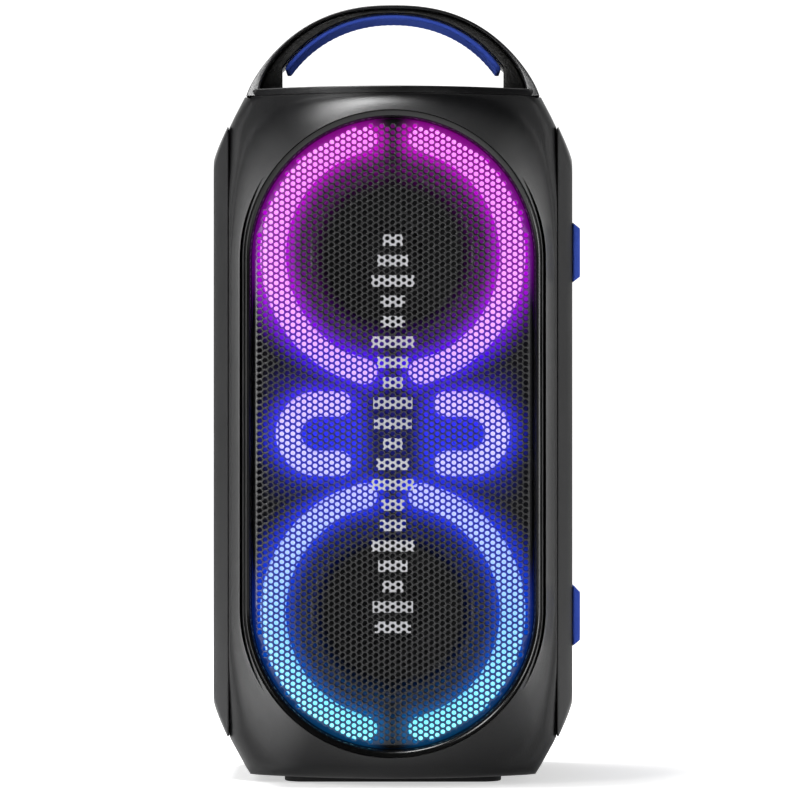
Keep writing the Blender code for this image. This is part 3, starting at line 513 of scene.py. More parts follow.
bars = []
for i in range(BAR_COUNT):
    middle = MID_Z + (i - (BAR_COUNT - 1) / 2) * BAR_PITCH
    half_w = (9.4 + 3.6 * math.sin(1.9 * i + 0.4)) * MM
    bar = bars_sheet.copy()
    sides = (
        ((half_w, 0, 0), (1, 0, 0)),
        ((-half_w, 0, 0), (-1, 0, 0)),
        ((0, 0, middle + BAR_HEIGHT / 2), (0, 0, 1)),
        ((0, 0, middle - BAR_HEIGHT / 2), (0, 0, -1)),
    )
    for point, outward in sides:
        bmesh.ops.bisect_plane(
            bar, geom=bar.verts[:] + bar.edges[:] + bar.faces[:], plane_co=point, plane_no=outward,
            clear_outer=True,
        )
    bars.append(bar)
bars_sheet.free()
ink_layer = gather(bars)
bmesh.ops.translate(ink_layer, vec=(0, GRILLE_LOW.y - INK, 0), verts=ink_layer.verts)
raised = bmesh.ops.extrude_face_region(ink_layer, geom=ink_layer.faces[:], use_keep_orig=True)["geom"]
raised = [v for v in raised if isinstance(v, bmesh.types.BMVert)]
bmesh.ops.translate(ink_layer, vec=(0, -INK, 0), verts=raised)

# Pad-printed ink: a flat pale grey, thinner and darker where the pebbled coat stands through it
pale_ink = moulded("pale_printing_ink", "#b4b4b8", "#dcdce0", 0.6, 0.7 * MM, 0.1)
print_piece = made("printed_bars", ink_layer, pale_ink, 30)
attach(print_piece, "root")

# ---------------------------------------------------------------- light guides
# Six milky acrylic guides, cut as strokes with round ends and lit from behind: two half rings
# round each woofer and a C beside the middle on each side. Their colour changes down the front.

LIGHT_LOW, LIGHT_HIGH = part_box("upper_light_right")
C_LOW, C_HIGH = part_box("centre_light_right")
UPPER_Z = (LIGHT_LOW.z + LIGHT_HIGH.z) / 2
DRIVER_DZ = UPPER_Z - MID_Z
STROKE_HALF = 7.65 * MM
RING_MID_R = LIGHT_HIGH.x - STROKE_HALF
RING_TIP_X = LIGHT_LOW.x + STROKE_HALF
C_MID_R = (C_HIGH.z - C_LOW.z) / 2 - STROKE_HALF
C_X = C_HIGH.x - STROKE_HALF - C_MID_R
C_TIP_X = C_LOW.x + STROKE_HALF

# The guides' colour and the colour of the painted glow of the light they shed, by height in mm
LIT = ((35, "#6cf4ff"), (100, "#7cc6ff"), (170, "#a8b0ff"), (212, "#c6baff"), (256, "#d29cff"),
       (300, "#f894ff"), (392, "#ff74ff"))
HALO = ((35, "#005a96"), (100, "#0040c8"), (165, "#1c30f4"), (212, "#2c32ff"), (258, "#4a08ff"),
        (300, "#b400e8"), (392, "#cc00cc"))


def light_reach(mat):
    """Measures of a point of the front, above all "reach", how far the nearest light's middle line is.

    Each light is part of a circle with tips: the distance joins how far a point is past the tip and
    how far it is off the line.
    """
    place = add(mat, "TexCoord").outputs["Object"]
    found = dict(add(mat, "SeparateXYZ", {0: place}).outputs.items())
    steps = (
        ("side", "ABSOLUTE", "X"),
        ("above", "SUBTRACT", "Z", MID_Z),
        ("away", "ABSOLUTE", "above"),
        ("up", "SUBTRACT", "away", DRIVER_DZ),
        ("up2", "MULTIPLY", "up", "up"),
        ("wide", "MAXIMUM", "side", RING_TIP_X),
        ("ring2", "MULTIPLY_ADD", "wide", "wide", "up2"),
        ("ring_r", "SQRT", "ring2"),
        ("ring_off", "SUBTRACT", "ring_r", RING_MID_R),
        ("ring_gap", "SUBTRACT", RING_TIP_X, "side"),
        ("ring_past", "MAXIMUM", "ring_gap", 0.0),
        ("c_side", "SUBTRACT", "side", C_X),
        ("c_out", "MAXIMUM", "c_side", 0.0),
        ("away2", "MULTIPLY", "away", "away"),
        ("c2", "MULTIPLY_ADD", "c_out", "c_out", "away2"),
        ("c_r", "SQRT", "c2"),
        ("c_off", "SUBTRACT", "c_r", C_MID_R),
        ("c_gap", "SUBTRACT", C_TIP_X, "side"),
        ("c_past", "MAXIMUM", "c_gap", 0.0),
        ("ring_off2", "MULTIPLY", "ring_off", "ring_off"),
        ("ring_all", "MULTIPLY_ADD", "ring_past", "ring_past", "ring_off2"),
        ("ring", "SQRT", "ring_all"),
        ("c_off2", "MULTIPLY", "c_off", "c_off"),
        ("c_all", "MULTIPLY_ADD", "c_past", "c_past", "c_off2"),
        ("c", "SQRT", "c_all"),
        ("reach", "MINIMUM", "ring", "c"),
    )
    for name, operation, *terms in steps:
        terms = {i: found.get(term, term) for i, term in enumerate(terms)}
        found[name] = add(mat, "Math", terms, operation=operation).outputs[0]
    return found


def height_colour(mat, height, colours):
    """The colour at a height, from (height in mm, colour) pairs."""
    low, high = colours[0][0], colours[-1][0]
    share = add(mat, "MapRange", {"Value": height, "From Min": low * MM, "From Max": high * MM})
    stops = [((z - low) / (high - low), colour) for z, colour in colours]
    return add(mat, "ValToRGB", {"Fac": share.outputs[0]}, stops).outputs["Color"]


def stroke_outline(path, half):
    """The outline of a line with round ends, drawn along a path of (x, z) points."""
    path = [Vector(p) for p in path]
    left, right = [], []
    for i, point in enumerate(path):
        ahead = path[min(i + 1, len(path) - 1)] - path[max(i - 1, 0)]
        aside = Vector((-ahead.y, ahead.x)).normalized() * half
        left.append(point + aside)
        right.append(point - aside)
    turns = [math.pi * k / 14 for k in range(1, 14)]
    last = [path[-1] + Matrix.Rotation(-t, 2) @ (left[-1] - path[-1]) for t in turns]
    first = [path[0] + Matrix.Rotation(-t, 2) @ (right[0] - path[0]) for t in turns]
    return left + last + right[::-1] + first


def plate(outline, back_y, front_y, edge):
    """A flat plate from an outline of (x, z) points, with its front edge rounded."""
    bm = bmesh.new()
    bm.faces.new([bm.verts.new((p[0], back_y, p[1])) for p in outline])
    grown = bmesh.ops.extrude_face_region(bm, geom=bm.faces[:], use_keep_orig=True)["geom"]
    verts = [v for v in grown if isinstance(v, bmesh.types.BMVert)]
    bmesh.ops.translate(bm, vec=(0, front_y - back_y, 0), verts=verts)
    rim = [e for e in grown if isinstance(e, bmesh.types.BMEdge)]
    if edge:
        bmesh.ops.bevel(bm, geom=rim, offset=edge, segments=3, profile=0.5, affect="EDGES", material=-1)
    return bm


# Milky acrylic, lit from behind: brightest along its middle line, more coloured at its edge
milky_acrylic, acrylic_shader = shader_of("lit_milky_acrylic", "#c8c0d8", 0.35, IOR=1.49)
guide_place = light_reach(milky_acrylic)
height = guide_place["Z"]
edge_share = add(
    milky_acrylic, "MapRange",
    {"Value": guide_place["reach"], "From Min": 5.8 * MM, "From Max": 8.2 * MM, "To Max": 0.5},
)
lit = add(milky_acrylic, "Mix", {0: edge_share.outputs[0]}, data_type="RGBA")
milky_acrylic.node_tree.links.new(height_colour(milky_acrylic, height, LIT), lit.inputs[6])
milky_acrylic.node_tree.links.new(height_colour(milky_acrylic, height, HALO), lit.inputs[7])
milky_acrylic.node_tree.links.new(lit.outputs[2], acrylic_shader.inputs["Emission Color"])
acrylic_shader.inputs["Emission Strength"].default_value = 1.15

for level, centre_z in (("upper", MID_Z + DRIVER_DZ), ("lower", MID_Z - DRIVER_DZ)):
    half_turn = math.acos(RING_TIP_X / RING_MID_R)
    for side_name, facing in (("left", math.pi), ("right", 0.0)):
        turns = [facing + half_turn * (i / 32 - 1) for i in range(65)]
        path = [(RING_MID_R * math.cos(t), centre_z + RING_MID_R * math.sin(t)) for t in turns]
        node = f"{level}_light_{side_name}"
        guide = plate(stroke_outline(path, STROKE_HALF), LIGHT_HIGH.y, LIGHT_LOW.y, 1.6 * MM)
        piece = made(node + "_guide", guide, milky_acrylic)
        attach(piece, "root")
        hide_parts(node)
for side_name, side in (("left", -1), ("right", 1)):
    turns = [math.pi * (i / 24 - 0.5) for i in range(25)]
    path = [(C_X + C_MID_R * math.cos(t), MID_Z + C_MID_R * math.sin(t)) for t in turns]
    path = [(C_TIP_X, MID_Z - C_MID_R)] + path + [(C_TIP_X, MID_Z + C_MID_R)]
    path = [(side * x, z) for x, z in path][::side]
    node = f"centre_light_{side_name}"
    guide = plate(stroke_outline(path, STROKE_HALF), C_HIGH.y, C_LOW.y, 1.6 * MM)
    piece = made(node + "_guide", guide, milky_acrylic)
    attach(piece, "root")
    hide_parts(node)

# ---------------------------------------------------------------- baffle and light boards
# The dark board that the drivers are screwed to, and the boards with the lamps. A painted glow
# stands in for the light that the guides shed on to all of them, strongest beside each stroke.


def painted_spill(mat, shader, strength, spread, fill=0.0):
    """Painted light from the guides: an emission on a surface near them, fading over a distance from their
    edges.

    The fill is the painted even light round the two C strokes, whose board faces them all over.
    """
    place = light_reach(mat)
    near = add(
        mat, "MapRange",
        {"Value": place["reach"], "From Min": 0.8 * STROKE_HALF, "From Max": STROKE_HALF + spread,
         "To Min": 1.0, "To Max": 0.0},
        interpolation_type="SMOOTHSTEP",
    )
    faded = add(mat, "Math", {0: near.outputs[0], 1: 1.4}, operation="POWER")
    level = add(
        mat, "MapRange",
        {"Value": place["away"], "From Min": 14 * MM, "From Max": 44 * MM, "To Min": 1.0, "To Max": 0.0},
        interpolation_type="SMOOTHSTEP",
    )
    beside = add(
        mat, "MapRange",
        {"Value": place["side"], "From Min": 50 * MM, "From Max": 80 * MM, "To Min": fill, "To Max": 0.0},
        interpolation_type="SMOOTHSTEP",
    )
    off_centre = add(
        mat, "MapRange",
        {"Value": place["side"], "From Min": 9 * MM, "From Max": 22 * MM, "To Min": 0.12},
        interpolation_type="SMOOTHSTEP",
    )
    across = add(mat, "Math", {0: beside.outputs[0], 1: off_centre.outputs[0]}, operation="MULTIPLY")
    even = add(mat, "Math", {0: level.outputs[0], 1: across.outputs[0]}, operation="MULTIPLY")
    close = add(mat, "Math", {0: faded.outputs[0], 1: strength}, operation="MULTIPLY")
    share = add(mat, "Math", {0: close.outputs[0], 1: even.outputs[0]}, operation="MAXIMUM")
    colour = height_colour(mat, place["Z"], HALO)
    light = add(mat, "VectorMath", {0: colour, "Scale": share.outputs[0]}, operation="SCALE")
    mat.node_tree.links.new(light.outputs[0], shader.inputs["Emission Color"])
    shader.inputs["Emission Strength"].default_value = 1.0


# Black-painted ABS board, with the guides' coloured light on it painted in as a glow
baffle_abs = moulded("baffle_abs_painted_glow", "#070708", "#0e0e10", 0.6, 0.8 * MM, 0.15)
painted_spill(baffle_abs, baffle_abs.node_tree.nodes["Principled BSDF"], 1.0, 17 * MM, 1.0)
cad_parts["baffle"].material_slots[0].material = baffle_abs

# Black solder mask over glass-fibre board, glossy and faintly woven, with the same painted glow
black_mask = moulded("black_solder_mask", "#08090a", "#0e1110", 0.35, 0.6 * MM, 0.05)
painted_spill(black_mask, black_mask.node_tree.nodes["Principled BSDF"], 1.0, 17 * MM, 1.0)
for name in ("upper_led_board", "lower_led_board", "centre_led_board"):
    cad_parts[name].material_slots[0].material = black_mask
# The grille's webs get a weaker, tighter painted glow of the guides' light
painted_spill(powder_coat, powder_coat.node_tree.nodes["Principled BSDF"], 0.4, 11 * MM, 0.16)

# ---------------------------------------------------------------- woofers
# Two drivers: a pressed steel basket, a paper cone with a domed cap, and a half-roll rubber
# surround between the moving cone and the fixed flange.

BAFFLE_FRONT_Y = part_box("baffle")[0].y
SPIN_STEPS = 96
SCREW_CIRCLE_R = 57.8 * MM
FLANGE_THICK = 2.4 * MM


def spun(profile, at, steps=SPIN_STEPS, closed=True, forward=True):
    """A turned shape from (radius, height) pairs in mm; heights point to the front, or up."""
    bm = bmesh.new()
    verts = [bm.verts.new((r * MM, 0, h * MM)) for r, h in profile]
    for first, second in zip(verts, verts[1:]):
        bm.edges.new((first, second))
    if closed:
        bm.edges.new((verts[-1], verts[0]))
    bmesh.ops.spin(
        bm, geom=bm.verts[:] + bm.edges[:], cent=(0, 0, 0), axis=(0, 0, 1), angle=math.tau,
        steps=steps, use_merge=True,
    )
    bmesh.ops.remove_doubles(bm, verts=bm.verts, dist=0.002 * MM)
    if forward:
        bm.transform(Matrix.Rotation(math.pi / 2, 4, "X"))
    bmesh.ops.translate(bm, vec=at, verts=bm.verts)
    return bm


def drilled(obj, cutters):
    """An object with every cutter's shape taken out of it; the cutters are used up."""
    for cutter in cutters:
        cut = obj.modifiers.new("cut", "BOOLEAN")
        cut.operation = "DIFFERENCE"
        cut.object = cutter
        cut.solver = "EXACT"
    graph = bpy.context.evaluated_depsgraph_get()
    obj.data = bpy.data.meshes.new_from_object(obj.evaluated_get(graph))
    obj.modifiers.clear()
    for cutter in cutters:
        bpy.data.objects.remove(cutter)
    obj.data.shade_smooth()
    obj.data.set_sharp_from_angle(angle=math.radians(32))


def screw_head(centre, outward, radius):
    """A socket-head screw: a domed head with a six-sided recess, facing outward."""
    outward = Vector(outward)
    across = outward.orthogonal().normalized()
    upright = outward.cross(across)
    rings = []
    levels = ((1.0, 0.0, 0), (1.0, 0.5, 0), (0.86, 0.75, 0), (0.5, 0.8, 1), (0.46, 0.2, 1))
    for wide, rise, six in levels:
        ring = []
        for i in range(12):
            turn = math.tau * i / 12
            reach = wide * radius * (0.93 if six and i % 2 else 1.0)
            ring.append(
                Vector(centre) + reach * (across * math.cos(turn) + upright * math.sin(turn))
                + outward * rise * radius
            )
        rings.append(ring)
    return skin(rings, cap_first=True, cap_last=True)


# Pressed paper pulp, coated black: a soft sheen broken by fibres
paper_cone, cone_shader = shader_of("coated_paper_cone", "#0b0b0c", 0.72)
cone_place = add(paper_cone, "TexCoord").outputs["Object"]
fibres = add(
    paper_cone, "TexNoise",
    {"Vector": cone_place, "Scale": 700.0, "Detail": 4.0, "Distortion": 1.2},
)
pulp = add(paper_cone, "ValToRGB", {"Fac": fibres.outputs["Fac"]}, ((0.35, "#08080a"), (0.7, "#1a1a1c")))
cone_bump = add(
    paper_cone, "Bump", {"Height": fibres.outputs["Fac"], "Strength": 0.3, "Distance": 0.3 * MM}
)
paper_cone.node_tree.links.new(pulp.outputs["Color"], cone_shader.inputs["Base Color"])
paper_cone.node_tree.links.new(cone_bump.outputs["Normal"], cone_shader.inputs["Normal"])
# Butyl rubber: smooth, a little glossy on its roll, with a painted glow of the guides' light
butyl = moulded("black_butyl_rubber", "#0a0a0b", "#161617", 0.32, 0.6 * MM, 0.08)
painted_spill(butyl, butyl.node_tree.nodes["Principled BSDF"], 0.5, 26 * MM)
# Pressed steel under black paint, with a painted glow of the guides' light on it
painted_steel = moulded("black_painted_steel", "#0b0b0d", "#17171a", 0.42, 1.2 * MM, 0.1)
painted_spill(painted_steel, painted_steel.node_tree.nodes["Principled BSDF"], 0.9, 17 * MM)
# Zinc-plated screws passivated black
black_zinc, zinc_shader = shader_of("black_zinc_screw", "#2a2a2d", 0.35, Metallic=1.0)
zinc_place = add(black_zinc, "TexCoord").outputs["Object"]
zinc_bloom = add(black_zinc, "TexNoise", {"Vector": zinc_place, "Scale": 500.0, "Detail": 2.0})
zinc_tone = add(
    black_zinc, "ValToRGB", {"Fac": zinc_bloom.outputs["Fac"]}, ((0.3, "#202023"), (0.7, "#38383c"))
)
black_zinc.node_tree.links.new(zinc_tone.outputs["Color"], zinc_shader.inputs["Base Color"])

for level, centre_z in (("upper", MID_Z + DRIVER_DZ), ("lower", MID_Z - DRIVER_DZ)):
    at = (0, BAFFLE_FRONT_Y, centre_z)
    piston = f"woofer_{level}_piston"
    basket = [(50.4, 1.2), (51, 2.0), (52, 2.4), (60.8, 2.4), (61.7, 2.1), (62, 1.4), (62, 0.3), (52.4, 0.3)]
    basket += [(50.5, -8), (37, -36), (37, -42), (14.8, -42), (14.8, -38), (34.5, -38), (34.5, -36)]
    basket += [(48, -8), (49, 0.3)]
    basket = made(f"woofer_{level}_basket_pressing", spun(basket, at), painted_steel)
    windows = []
    for i in range(4):
        window = bmesh.new()
        bmesh.ops.create_cube(window, size=1.0, matrix=Matrix.Diagonal((32 * MM, 24 * MM, 40 * MM, 1)))
        bmesh.ops.translate(window, vec=(0, 22 * MM, 40 * MM), verts=window.verts)
        window.transform(Matrix.Rotation(math.tau * (i + 0.5) / 4, 4, "Y"))
        bmesh.ops.translate(window, vec=at, verts=window.verts)
        windows.append(made(f"basket_window_{i}", window, painted_steel))
    drilled(basket, windows)
    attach(basket, "root")
    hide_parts(f"woofer_{level}_basket")
    cone = [(14.3 + 28.3 * t, -15.4 + 13.0 * t**0.82) for t in (i / 12 for i in range(13))]
    under = [(r, h - 1.1) for r, h in reversed(cone)]
    cone = made(f"woofer_{level}_cone_paper", spun(cone + under, at), paper_cone)
    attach(cone, piston)
    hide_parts(f"woofer_{level}_cone")
    turns = [math.pi / 2 * i / 10 for i in range(11)]
    dome = [(18.5 * math.sin(t), -12.9 + 6.6 * math.cos(t)) for t in turns]
    hollow = [(0.94 * r, h - 0.7) for r, h in reversed(dome[:-1])]
    dome = spun(dome + [(18.9, -13.4), (17.3, -13.4)] + hollow, at, closed=False)
    dust_cap = made(f"woofer_{level}_cap_dome", dome, paper_cone)
    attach(dust_cap, piston)
    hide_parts(f"woofer_{level}_dust_cap")
    roll_top, roll_under = [], []
    for i in range(15):
        turn = math.pi * i / 14
        rise = -0.9 + 4.4 * i / 14 + 5.4 * math.sin(turn)
        roll_top.append((47.2 - 4.3 * math.cos(turn), rise))
        roll_under.append((47.2 - 3.6 * math.cos(turn), rise - 0.7))
    roll_top = [(40.4, -2.3), (41.8, -1.7)] + roll_top + [(53.0, 3.5), (54.4, 3.3)]
    roll_under = [(40.4, -2.9), (41.8, -2.4)] + roll_under + [(53.0, 2.7), (54.4, 2.6)]
    surround = made(f"woofer_{level}_surround_roll", spun(roll_top + roll_under[::-1], at), butyl)
    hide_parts(f"woofer_{level}_surround")
    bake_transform(surround)
    heads = []
    for i in range(8):
        turn = math.tau * (i + 0.5) / 8
        x, z = SCREW_CIRCLE_R * math.cos(turn), SCREW_CIRCLE_R * math.sin(turn)
        heads.append(
            screw_head((x, BAFFLE_FRONT_Y - FLANGE_THICK, centre_z + z), (0, -1, 0), 2.2 * MM)
        )
    heads = made(f"woofer_{level}_screws", gather(heads), painted_steel)
    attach(heads, "root")

# ---------------------------------------------------------------- tweeters
# Two small domes in round cups, one inside each C. The cup's mouth is a shallow horn.

for side_name, side in (("left", -1), ("right", 1)):
    low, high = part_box(f"tweeter_{side_name}_housing")
    at = ((low.x + high.x) / 2, BAFFLE_FRONT_Y, MID_Z)
    cup = [(0, 1), (7.4, 1), (7.7, 2.2), (8.4, 4.0), (8.9, 4.7), (9.3, 4.8)]
    cup += [(9.7, 4.4), (9.7, -12), (0, -12)]
    cup = made(f"tweeter_{side_name}_cup", spun(cup, at, 48, closed=False), baffle_abs)
    turns = [math.pi / 2 * i / 8 for i in range(9)]
    dome = [(7 * math.sin(t), 1.3 + 2.8 * math.cos(t)) for t in turns]
    dome = made(f"tweeter_{side_name}_silk", spun(dome + [(0, 1.3)], at, 48, closed=False), baffle_abs)
    for piece, node in ((cup, "housing"), (dome, "dome")):
        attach(piece, "root")
        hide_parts(f"tweeter_{side_name}_{node}")

# ---------------------------------------------------------------- handle frame
# The deck and the arched handle are one ABS moulding screwed to the top. The arch is an outer
# strap that flares into the shoulders, with a separate narrower liner let in underneath it.

DECK_LOW, DECK_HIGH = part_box("handle_frame")
DECK_TOP = 421.0 * MM
ARCH_STATIONS = 120


def arch(a, foot, top, power, low_z, limit=None, count=ARCH_STATIONS):
    """Evenly spaced (x, z) points of a superellipse arch in mm, from its right foot to its left."""
    start = math.asin(((low_z - foot) / (top - foot)) ** (power / 2))
    fine = []
    for i in range(801):
        turn = start + (math.pi - 2 * start) * i / 800
        x = math.copysign(abs(math.cos(turn)) ** (2 / power), math.cos(turn)) * a
        if limit:
            x = max(-limit, min(limit, x))
        fine.append(Vector((x, foot + (top - foot) * math.sin(turn) ** (2 / power))) * MM)
    lengths = [0.0]
    for p, q in zip(fine, fine[1:]):
        lengths.append(lengths[-1] + (q - p).length)
    points, k = [], 0
    for i in range(count + 1):
        target = lengths[-1] * i / count
        while k < len(fine) - 2 and lengths[k + 1] < target:
            k += 1
        span = max(lengths[k + 1] - lengths[k], 1e-9)
        points.append(fine[k].lerp(fine[k + 1], min(1.0, (target - lengths[k]) / span)))
    return points


def rounded_loop(half_u, low_v, high_v, radius, steps=5):
    """A rounded rectangle as (u, v) points; u runs from -half_u to half_u."""
    radius = min(radius, 0.49 * (high_v - low_v))
    corners = (
        (half_u - radius, high_v - radius, 0.0),
        (radius - half_u, high_v - radius, math.pi / 2),
        (radius - half_u, low_v + radius, math.pi),
        (half_u - radius, low_v + radius, 1.5 * math.pi),
    )
    loop = []
    for u, v, start in corners:
        for i in range(steps + 1):
            turn = start + math.pi / 2 * i / steps
            loop.append((u + radius * math.cos(turn), v + radius * math.sin(turn)))
    return loop


ARCH_LOW_Z = DECK_LOW.z / MM + 0.1
outer_arch = arch(a=105.4, foot=331.0, top=474.5, power=2.35, low_z=ARCH_LOW_Z)
inner_arch = arch(a=83.5, foot=383.0, top=469.4, power=2.1, low_z=ARCH_LOW_Z, limit=67.8)
ARCH_DROP = 57.5 * MM  # from the arch's top to the level where its legs' flare is full
STRAP_HALF_DEPTH = 30 * MM
STRAP_FLARE = 32 * MM
LINER_HALF_DEPTH = 29.2 * MM
FOOT_TUCK = 1.6 * MM  # the strap's front corners draw in to meet the shoulders
LEG_SPLAY = 0.035  # the legs' inner sides open out by this much towards the back


def arch_rings(section):
    """Rings of a sweep along the arch; section gives (y, depth under the strap's face) points."""
    rings = []
    for outer, inner in zip(outer_arch, inner_arch):
        inward = (inner - outer).normalized()
        thick = (inner - outer).length
        fall = max(0.0, (DECK_HIGH.z - outer.y) / ARCH_DROP)
        ring = []
        splay = LEG_SPLAY * min(1.0, max(0.0, (fall - 0.5) / 0.16))
        for y, under in section(thick, fall):
            if under > 0.6 * thick:
                under -= splay * (y + LINER_HALF_DEPTH)
            spot = outer + inward * under
            forward = max(0.0, -y / (STRAP_HALF_DEPTH + STRAP_FLARE))
            spot.x -= math.copysign(FOOT_TUCK * fall**4 * forward**3, spot.x)
            ring.append((spot.x, y, spot.y))
        rings.append(ring)
    return rings


def strap_width(fall):
    return (2.3 + 5.2 * fall**4) * MM


def strap_section(thick, fall):
    half_depth = STRAP_HALF_DEPTH + STRAP_FLARE * fall**2.2
    return rounded_loop(half_depth, 0, strap_width(fall), 0.9 * MM)


def liner_section(thick, fall):
    return rounded_loop(LINER_HALF_DEPTH, strap_width(fall) + 0.45 * MM, thick, 1.5 * MM)


strap = skin(arch_rings(strap_section), cap_first=True, cap_last=True)
DECK_CORNER = 10 * MM  # radius of the deck's corners, in plan
DECK_HALF_W = 86.8 * MM
SEAM_HALF_W = 88.6 * MM  # the deck is this wide at its seam with the cabinet
deck_plan = [Vector((TOP_HALF_W * (1 - i / 20), edge_y(TOP_HALF_W * (1 - i / 20)))) for i in range(41)]
for side in (-1, 1):
    for i in range(7):
        turn = math.pi / 2 * (i if side > 0 else 6 - i) / 6
        deck_plan.append(Vector((
            side * (TOP_HALF_W - DECK_CORNER + DECK_CORNER * math.sin(turn)),
            DECK_HIGH.y - DECK_CORNER + DECK_CORNER * math.cos(turn),
        )))
deck = bmesh.new()
deck.faces.new([deck.verts.new((p.x, p.y, DECK_LOW.z)) for p in deck_plan])
grown = bmesh.ops.extrude_face_region(deck, geom=deck.faces[:], use_keep_orig=True)["geom"]
bmesh.ops.translate(
    deck, vec=(0, 0, DECK_TOP - DECK_LOW.z), verts=[v for v in grown if isinstance(v, bmesh.types.BMVert)]
)
for vert in deck.verts:
    vert.co.x *= (DECK_HALF_W if vert.co.z > DECK_LOW.z + 1 * MM else SEAM_HALF_W) / TOP_HALF_W
front_corners = [
    e for e in deck.edges
    if all(abs(v.co.x) > DECK_HALF_W - 0.8 * MM and v.co.y < 0 for v in e.verts)
    and abs(e.verts[0].co.z - e.verts[1].co.z) > MM
]
bmesh.ops.bevel(
    deck, geom=front_corners, offset=DECK_CORNER, segments=6, profile=0.5, affect="EDGES", material=-1
)
deck_edges = [e for e in deck.edges if all(v.co.z > DECK_TOP - 0.01 * MM for v in e.verts)]
bmesh.ops.bevel(
    deck, geom=deck_edges, offset=1.1 * MM, segments=3, profile=0.5, affect="EDGES", material=-1
)
deck_plate = made("deck_plate", deck, cabinet_abs)
KEYS_LOW, KEYS_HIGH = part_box("control_panel")
PLATE_X, PLATE_Y = 120.0 * MM, 44.0 * MM
PLATE_SLACK = 0.8 * MM
key_window = bmesh.new()
window_size = (PLATE_X + PLATE_SLACK, PLATE_Y + PLATE_SLACK, 30 * MM, 1)
bmesh.ops.create_cube(key_window, size=1.0, matrix=Matrix.Diagonal(window_size))
upright = [e for e in key_window.edges if abs(e.verts[0].co.z - e.verts[1].co.z) > 20 * MM]
bmesh.ops.bevel(
    key_window, geom=upright, offset=6.3 * MM, segments=6, profile=0.5, affect="EDGES", material=-1
)
bmesh.ops.translate(key_window, vec=(0, 0, DECK_TOP), verts=key_window.verts)
drilled(deck_plate, [made("key_window", key_window, cabinet_abs)])
deck = bmesh.new()
deck.from_mesh(deck_plate.data)
bpy.data.objects.remove(deck_plate)
handle_frame = made("handle_frame_moulding", gather([strap, deck]), cabinet_abs)
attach(handle_frame, "root")
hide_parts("handle_frame")

# Leather-grained ABS: deeper pebbles and more shine than the cabinet
grained_abs = moulded("grained_glossy_abs", "#0b0b0b", "#201f1b", 0.24, 1.1 * MM, 0.7)
liner = skin(arch_rings(liner_section), cap_first=True, cap_last=True)
liner = made("handle_liner", liner, grained_abs)
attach(liner, "root")

# ---------------------------------------------------------------- handle grip
# Blue thermoplastic rubber moulded on under the arch. Slanting ribs run round its underside, and
# its top edge is smooth.

RIB_PITCH = 4.1 * MM
RIB_HEIGHT = 0.55 * MM
RIB_LEAN = 1.1  # how far a rib shifts along the grip for its height
RIB_FADE = 5.0 * MM  # the ribs fade out over this much at the grip's front and back
END_ROUND = 7.0 * MM
GRIP_LOW, GRIP_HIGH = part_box("handle_grip")
GRIP_STATIONS = 300
grip_top = arch(
    a=83.5 * 0.993, foot=383.0, top=468.8, power=2.1, low_z=GRIP_LOW.z / MM, count=GRIP_STATIONS
)
grip_under = arch(
    a=78.8, foot=383.0, top=466.2, power=2.1, low_z=GRIP_LOW.z / MM + 0.8, count=GRIP_STATIONS
)
grip_length = sum((q - p).length for p, q in zip(grip_top, grip_top[1:]))
grip_rings = []
for i, (top, under) in enumerate(zip(grip_top, grip_under)):
    inward = (under - top).normalized()
    thick = (under - top).length
    along = grip_length * (0.5 - i / GRIP_STATIONS)
    near_end = max(0.0, 1 - (grip_length / 2 - abs(along)) / END_ROUND)
    start = 0.85 * thick * (1 - math.sqrt(max(0.0, 1 - near_end**2)))
    half_depth = GRIP_HIGH.y - 6 * MM * (1 - math.sqrt(max(0.0, 1 - near_end**2)))
    ring = []
    for y, depth in rounded_loop(half_depth, start, thick, 2.4 * MM, steps=9):
        low = min(1.0, max(0.0, (depth / thick - 0.34) / 0.22))
        wave = math.cos(math.tau * (along + RIB_LEAN * (depth + 0.1 * y)) / RIB_PITCH)
        ribbed = min(1.0, max(0.0, (half_depth - abs(y)) / RIB_FADE))
        inset = RIB_HEIGHT * low * ribbed * (0.5 - 0.5 * wave) * (1 - near_end**2)
        spot = top + inward * (depth - inset * (1.0 if depth > 0.8 * thick else 0.4))
        ring.append((spot.x, y - math.copysign(inset, y), spot.y))
    grip_rings.append(ring)
# Blue thermoplastic rubber: saturated, soft sheen, very fine texture
blue_rubber = moulded("blue_thermoplastic_rubber", "#3c55bc", "#5874e4", 0.55, 0.5 * MM, 0.1)
rubber_shader = blue_rubber.node_tree.nodes["Principled BSDF"]
rubber_shader.inputs["Specular IOR Level"].default_value = 0.0
rubber_shader.inputs["Sheen Weight"].default_value = 0.4
rubber_shader.inputs["Sheen Roughness"].default_value = 0.4
rubber_shader.inputs["Sheen Tint"].default_value = linear("#6f8cff")
grip = made("handle_grip_sleeve", skin(grip_rings, cap_first=True, cap_last=True), blue_rubber, 50)
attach(grip, "root")
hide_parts("handle_grip")

# ---------------------------------------------------------------- control panel and buttons
# A matt key plate let into the deck, with seven rubber buttons that travel one millimetre. Each
# carries a raised plain sign in pale rubber, moulded in with it.

key_plate = bmesh.new()
plate_size = (PLATE_X, PLATE_Y, KEYS_HIGH.z - KEYS_LOW.z, 1)
bmesh.ops.create_cube(key_plate, size=1.0, matrix=Matrix.Diagonal(plate_size))
bmesh.ops.translate(key_plate, vec=(0, 0, (KEYS_LOW.z + KEYS_HIGH.z) / 2), verts=key_plate.verts)
upright = [e for e in key_plate.edges if abs(e.verts[0].co.z - e.verts[1].co.z) > 1 * MM]
bmesh.ops.bevel(
    key_plate, geom=upright, offset=6 * MM, segments=8, profile=0.5, affect="EDGES", material=-1
)
top_edges = [e for e in key_plate.edges if all(v.co.z > KEYS_HIGH.z - 0.01 * MM for v in e.verts)]
bmesh.ops.bevel(
    key_plate, geom=top_edges, offset=0.7 * MM, segments=3, profile=0.5, affect="EDGES", material=-1
)
